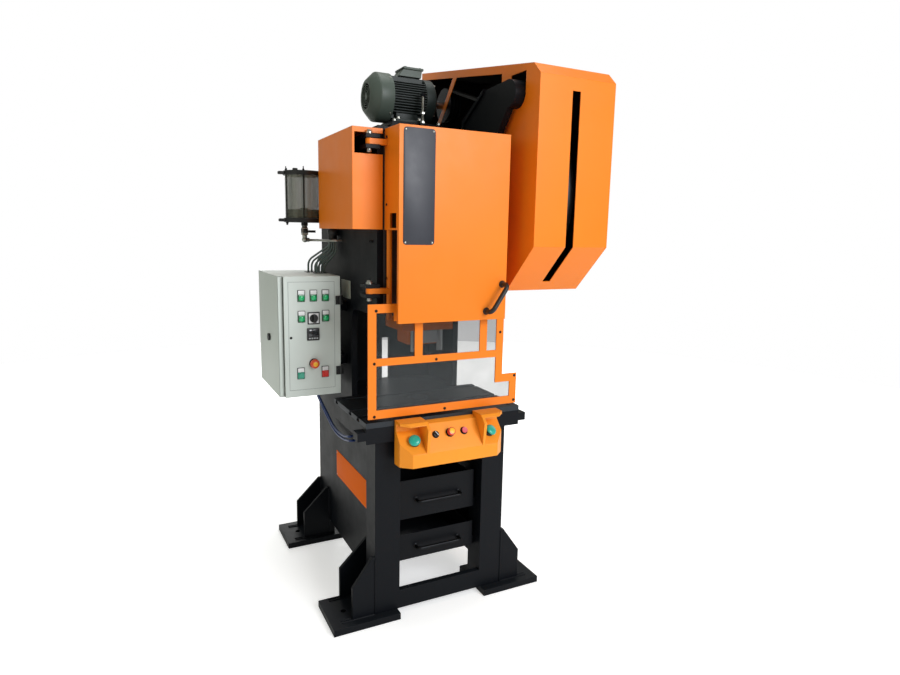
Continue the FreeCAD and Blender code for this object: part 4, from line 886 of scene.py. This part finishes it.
# %% Cabinet buttons
BUTTON = [(0, -12), (7.5, -12), (7.5, 4.6), (12, 4.6), (12, 10), (11, 12), (0, 11.4)]
SKIRT = [(12.6, 3), (14, 3), (14, 6), (13.4, 7), (12.6, 7)]
MUSHROOM = [(0, -12), (7.5, -12), (7.5, 9.4), (14, 9.8), (19, 12), (19, 18), (17, 23), (13, 26),
            (8.5, 26.6), (0, 26.6)]
for name, (x, z), finish, slot in (("start", START, BUTTON_TEAL, "green_plastic"),
                                   ("halt", HALT, BUTTON_RED, "red_plastic")):
    single(name + "_cap", turned(BUTTON, 32), on_front(x, z), FRONT, finish, "cabinet_" + name,
           ["cabinet_" + name + "_button"])
    skirt = bmesh.new()
    put(skirt, turned(SKIRT, 32, closed=True), on_front(x, z), FRONT)
    tablet(skirt, x, z, 27, 27, 3, 5, 0.5, 3)
    finish_piece(name + "_cap_skirt", skirt, finish, "cabinet_door")
single("cabinet_stop_cap", turned(MUSHROOM, 40), on_front(*STOP), FRONT, STOP_RED, "cabinet_stop",
       ["cabinet_stop_button"])
single("cabinet_stop_centre", turned([(0, 26), (9.5, 26), (9.5, 27.2), (8, 28), (0, 28)], 32),
       on_front(*STOP), FRONT, STOP_YELLOW, "cabinet_stop")
collar = bmesh.new()
put(collar, turned([(8, 0), (20, 0), (20, 2), (15, 4), (8, 4)], 40, closed=True),
    on_front(*STOP), FRONT)
put(collar, turned([(0, 0), (5, 0), (5, 1.5), (4, 2.2), (0, 2.2)], 24), on_front(*LATCH), FRONT)
finish_piece("cabinet_collars", collar, BLACK_OXIDE, "cabinet_door")
print("cabinet buttons made")

# %% Cabinet hinges, seam and case
HINGES_Z, HINGE_HALF = (1219, 927), 18
hinges, leaves = bmesh.new(), bmesh.new()
for z in HINGES_Z:
    put(hinges, block((-318, CAB_Y - 4, z - HINGE_HALF), (-301, CAB_Y + 1, z + HINGE_HALF), 1.2))
    put(hinges, turned([(0, -18), (6, -18), (7, -17), (7, 17), (6, 18), (0, 18)], 24),
        (-297, CAB_Y - 1, z))
    for rise in (-10, 10):
        socket_screw(hinges, (-311, CAB_Y - 4, z + rise), FRONT, 3.4, 1.8, True)
    put(leaves, block((-299, CAB_Y + 4, z - HINGE_HALF), (-284, CAB_Y + 24, z + HINGE_HALF), 1.2))
finish_piece("cabinet_hinges", hinges, ABS_BLACK, "cabinet_door")
finish_piece("cabinet_hinge_leaves", leaves, ABS_BLACK, "frame")

# a thin frame of darker grey on the door's face paints the shade in its groove
SEAM_X, SEAM_Z, SEAM_W = (-510, -322), (857, 1296), 1.4
seam = bmesh.new()
for x in (SEAM_X[0], SEAM_X[1] - SEAM_W):
    put(seam, block((x, CAB_Y - 0.5, SEAM_Z[0]), (x + SEAM_W, CAB_Y + 0.5, SEAM_Z[1])))
for z in (SEAM_Z[0], SEAM_Z[1] - SEAM_W):
    put(seam, block((SEAM_X[0], CAB_Y - 0.5, z), (SEAM_X[1], CAB_Y + 0.5, z + SEAM_W)))
finish_piece("cabinet_door_groove_shade", seam, GROOVE_SHADE_GREY, "cabinet_door")

SHEET = 2.5
case_low, case_high = box_mm("cabinet_body")
case_right = cabinet_high.x
case_far = Vector((case_right, case_high.y, case_high.z))
case = bmesh.new()
for axis, at_high in ((0, False), (0, True), (2, True), (2, False), (1, True)):
    low, high = case_low.copy(), case_far.copy()
    if at_high:
        low[axis] = high[axis] - SHEET
    else:
        high[axis] = low[axis] + SHEET
    put(case, block(low, high, 0.8))
put(case, block(case_low, (case_low.x + 24, case_low.y + SHEET, case_high.z), 0.8))
finish_piece("cabinet_case", case, GREY, "frame", ["cabinet_body"])
arms = bmesh.new()
for z in (case_low.z + 110, case_high.z - 150):
    put(arms, block((case_right, case_low.y + 40, z), (side_x, case_high.y, z + 40), 1.5))
finish_piece("cabinet_arms", arms, BLACK, "frame")
# a black rubber strip along the door's left edge fills the gap between door and case; it paints the
# shade in that gap
strip = block((cabinet_low.x - 1.6, cabinet_high.y - 8, case_low.z + 3),
              (cabinet_low.x + 3, cabinet_high.y + 0.4, case_high.z - 3))
single("cabinet_gap_shade_strip", strip, (0, 0, 0), UP, RUBBER, "frame")
entry = bmesh.new()
for x0, x1, y0, y1 in ((-372, -301, 172, 206), (-356, -299, 92, 126)):
    put(entry, block((x0, y0, case_high.z), (x1, y1, case_high.z + 3), 1))
finish_piece("cable_entry_plate", entry, ABS_BLACK, "frame")
print("cabinet door parts made")

# %% [markdown]
# ## Two-hand console
# The cast console holds two palm buttons, under hoods so that a sleeve can't press them, with a
# selector, a stop and a reset between them. A palm button is a domed cap over a black collar.
# The caps are turned on the button's own slanting axis, and the collars stay with the console.

# %% Console buttons
PALM_SEAT, PALM_LEAN = Vector((158, -524, 732)), Vector((0.2588, -0.683, 0.683))
PANEL_LEAN = Vector((0, -0.832, 0.555))
SELECTOR_X, STOP_X, RESET_X, SELECTOR_TURN = -72, -12, 48, 0.6
PALM_CAP = [(0, -20), (9, -20), (9, 15), (19, 16), (22, 18), (22, 20.5), (20.5, 23.5), (16.5, 26),
            (11, 27.4), (5, 28), (0, 28.1)]
PALM_COLLAR = [(9.7, -6), (19, -6), (19, 5), (16, 8.5), (9.7, 8.5)]
for side, body in ((-1, "palm_left"), (1, "palm_right")):
    seat, way = PALM_SEAT.copy(), PALM_LEAN.copy()
    seat.x, way.x = side * seat.x, side * way.x
    single(body + "_cap", turned(PALM_CAP, 40), seat, way, PALM_GREEN, body,
           [body.replace("palm", "palm_button")])
    single(body + "_collar", turned(PALM_COLLAR, 32, closed=True), seat, way, ABS_BLACK, "frame")


def panel_at(x, rise=0.0):
    """A place over the middle line of the sloping panel."""
    return Vector((x, -525, 752.5)) + PANEL_LEAN * rise


stop_cap = [(0, -14), (5.8, -14), (5.8, 9), (12, 9.2), (15, 10), (15, 21), (14, 23.5), (10.5, 24.5),
            (0, 24.5)]
single("console_stop_cap", turned(stop_cap, 36), panel_at(STOP_X), PANEL_LEAN, BUTTON_RED,
       "console_stop", ["console_stop_button"])
single("console_stop_top", turned([(0, 24), (11, 24), (11, 25.2), (9.5, 26), (0, 26)], 32),
       panel_at(STOP_X), PANEL_LEAN, STOP_YELLOW, "console_stop")
reset_cap = [(0, -14), (5.8, -14), (5.8, 8), (11.5, 8), (11.5, 11), (10, 12.6), (0, 12.2)]
single("console_reset_cap", turned(reset_cap, 32), panel_at(RESET_X), PANEL_LEAN, BUTTON_PINK,
       "console_reset", ["console_reset_button"])
selector = bmesh.new()
knob = [(0, -14), (5.8, -14), (5.8, 1), (11, 1), (11, 6), (9.5, 8), (0, 8)]
put(selector, turned(knob, 32), panel_at(SELECTOR_X), PANEL_LEAN)
grip = plate(rounded(-3, 3, -10.5, 10.5, 2.5), 9, 1.2)
put(selector, grip, panel_at(SELECTOR_X, 7), PANEL_LEAN, SELECTOR_TURN)
finish_piece("console_selector_grip", selector, ABS_BLACK, "console_selector",
             ["console_selector_knob"])
line = bmesh.new()
mark = plate(rounded(-0.9, 0.9, -9.5, 9.5, 0.8), 0.7)
put(line, mark, panel_at(SELECTOR_X, 15.6), PANEL_LEAN, SELECTOR_TURN)
finish_piece("console_selector_line", line, LABEL_WHITE, "console_selector")
rings = bmesh.new()
for x, radius in ((SELECTOR_X, 14), (STOP_X, 17), (RESET_X, 15)):
    ring = [(6.6, 0), (radius, 0), (radius, 2), (radius - 2, 3.4), (6.6, 3.4)]
    put(rings, turned(ring, 36, closed=True), panel_at(x), PANEL_LEAN)
finish_piece("console_rings", rings, BLACK_OXIDE, "frame")
print("console buttons made")


# %% [markdown]
# ## Welds
# The frame and its feet are welded from thick plate. A weld bead is a row of small overlapping
# ripples, so it is turned from a wavy line, once for each seam, and half of it lies buried in
# the corner between the plates. Real ripples are about 3 mm apart.

# %% Weld beads
FOOT_T, GUSSET_T, GUSSET_END = 26.0, 14.0, 418.0


def weld(piece, start, end, radius=4.0, ripple=3.0):
    """A bead from start to end."""
    start, end = Vector(start), Vector(end)
    count = int((end - start).length / ripple)
    line = [(0, 0)] + [(radius * (1.0 if k % 2 else 0.84), (k + 0.5) * ripple) for k in range(count)]
    put(piece, turned(line + [(0, (count + 0.2) * ripple)], 10), start, end - start)


beads = bmesh.new()
for mirror in (-1, 1):
    for inner, y in ((282, -445), (250, -284), (250, 285), (250, 426)):
        for face in (y, y + GUSSET_T):
            weld(beads, (mirror * inner, face, FOOT_T), (mirror * GUSSET_END, face, FOOT_T))
            weld(beads, (mirror * inner, face, FOOT_T), (mirror * inner, face, 258))
    weld(beads, (mirror * 225, 200, 104), (mirror * 225, 200, 1848), 5, 4)
    weld(beads, (mirror * 225, 358, 1850), (mirror * 225, -30, 1850), 4, 4)
finish_piece("weld_beads", beads, BLACK, "frame")
print("weld beads made")

# %% [markdown]
# ## Flywheel guard fittings
# The large guard is a folded sheet box, screwed along its rim to a hidden frame, with a screwed
# cover over the hub for greasing and pressed louvres that let warm air out. The screws follow
# the outline about a hand's length apart, set in from the edge towards the hub.

# %% Guard fittings
guard_low, guard_high = box_mm("flywheel_guard")
OUTLINE = [(-403, 1273), (-583, 1453), (-583, 2075), (-538, 2118), (450, 2276), (450, 1900),
           (205, 1600), (205, 1343), (135, 1273)]
HUB = Vector((0, -200, 1655))
SCREW_GAP, SCREW_INSET = 240, 20
LOUVRES, LOUVRE_PITCH, LOUVRE_Z = 6, 30, 1960
rim_screws = bmesh.new()
for (y0, z0), (y1, z1) in zip(OUTLINE, OUTLINE[1:] + OUTLINE[:1]):
    run = Vector((0, y1 - y0, z1 - z0))
    count = max(1, round(run.length / SCREW_GAP))
    for k in range(count):
        spot = Vector((0, y0, z0)) + run * ((k + 0.5) / count)
        spot += (HUB - spot).normalized() * SCREW_INSET
        socket_screw(rim_screws, (guard_high.x, spot.y, spot.z), RIGHT, 6, 3.4, True)
cover = bmesh.new()
put(cover, plate(rounded(-130, 130, -130, 130, 24), 2.5, 1.0), (guard_high.x, HUB.y, HUB.z), RIGHT)
for y in (-112, 112):
    for z in (-112, 112):
        socket_screw(rim_screws, (guard_high.x + 2.4, HUB.y + y, HUB.z + z), RIGHT, 6, 3.4, True)
finish_piece("guard_rim_screws", rim_screws, BLACK_OXIDE, "frame")
for step in range(LOUVRES):
    level = LOUVRE_Z + step * LOUVRE_PITCH
    put(cover, block((guard_high.x - 1, -30, level), (guard_high.x + 7, 130, level + 13), 6, 4))
finish_piece("guard_hub_cover", cover, ORANGE, "frame")
print("guard screws and cover made")

# %% [markdown]
# ## Painted shade inside the flywheel guard
# A near-black lining, on every side but the slotted front, paints the shade inside the guard. The
# outline is drawn twice, a little smaller each time, and the strip between is filled side by side.

# %% Guard lining of painted shade
SKIN, SHADE_SHEET_DEPTH = 3.4, 6.0


def inset(points, depth):
    """A clockwise outline moved inwards by depth, with sharp corners."""
    moved = []
    for k, point in enumerate(points):
        here, before = Vector(point), Vector(points[k - 1])
        after = Vector(points[(k + 1) % len(points)])
        first, second = (here - before).normalized(), (after - here).normalized()
        one, two = Vector((first.y, -first.x)), Vector((second.y, -second.x))
        moved.append(here + (one + two) * (depth / (1 + one.dot(two))))
    return moved


# near-black strips along the guard's inner walls and a panel inside its outer wall paint the shade in
# the guard
lining = bmesh.new()
near, deep = inset(OUTLINE, SKIN), inset(OUTLINE, SKIN + SHADE_SHEET_DEPTH)
for k in range(2, len(OUTLINE)):
    after = (k + 1) % len(OUTLINE)
    strip = [near[k], near[after], deep[after], deep[k]]
    put(lining, plate(strip, guard_high.x - guard_low.x - 8), (guard_low.x + 4, 0, 0), RIGHT)
put(lining, plate(deep, 5), (guard_high.x - 9, 0, 0), RIGHT)
finish_piece("guard_painted_shade_lining", lining, SHADE_LINING, "frame")
print("guard lined on", len(OUTLINE) - 1, "sides")

# %% [markdown]
# ## Table, base and drawer screws
# The table is bolted down at its corners with sunk screws, the motor's plate stands on four
# hexagon bolts, and each drawer pull is held by two round feet.

# %% Table, base and drawer screws
table_low, table_high = box_mm("bolster_plate")
sunk = bmesh.new()
for x in (table_low.x + 34, table_high.x - 34):
    for y in (table_low.y + 30, table_high.y - 22):
        socket_screw(sunk, (x, y, table_high.z - 0.2), UP, 9, 1.2)
finish_piece("table_screws", sunk, BLACK_OXIDE, "frame")
base_bolts = bmesh.new()
for x in (18, 232):
    for y in (base_low.y + 18, base_high.y - 18):
        hex_bolt(base_bolts, (x, y, base_high.z), UP, 15)
finish_piece("motor_plate_bolts", base_bolts, ZINC, "frame")
for drawer in ("drawer_upper", "drawer_lower"):
    pull_low, pull_high = box_mm(drawer + "_pull")
    front = box_mm(drawer)[0].y
    feet = bmesh.new()
    for x in (pull_low.x + 6.5, pull_high.x - 6.5):
        put(feet, turned([(0, 0), (11, 0), (11, 2), (8, 4), (0, 4)], 24),
            (x, front, (pull_low.z + pull_high.z) / 2), FRONT)
    finish_piece(drawer + "_pull_feet", feet, BLACK_OXIDE, drawer)
print("table, base and drawer screws made")
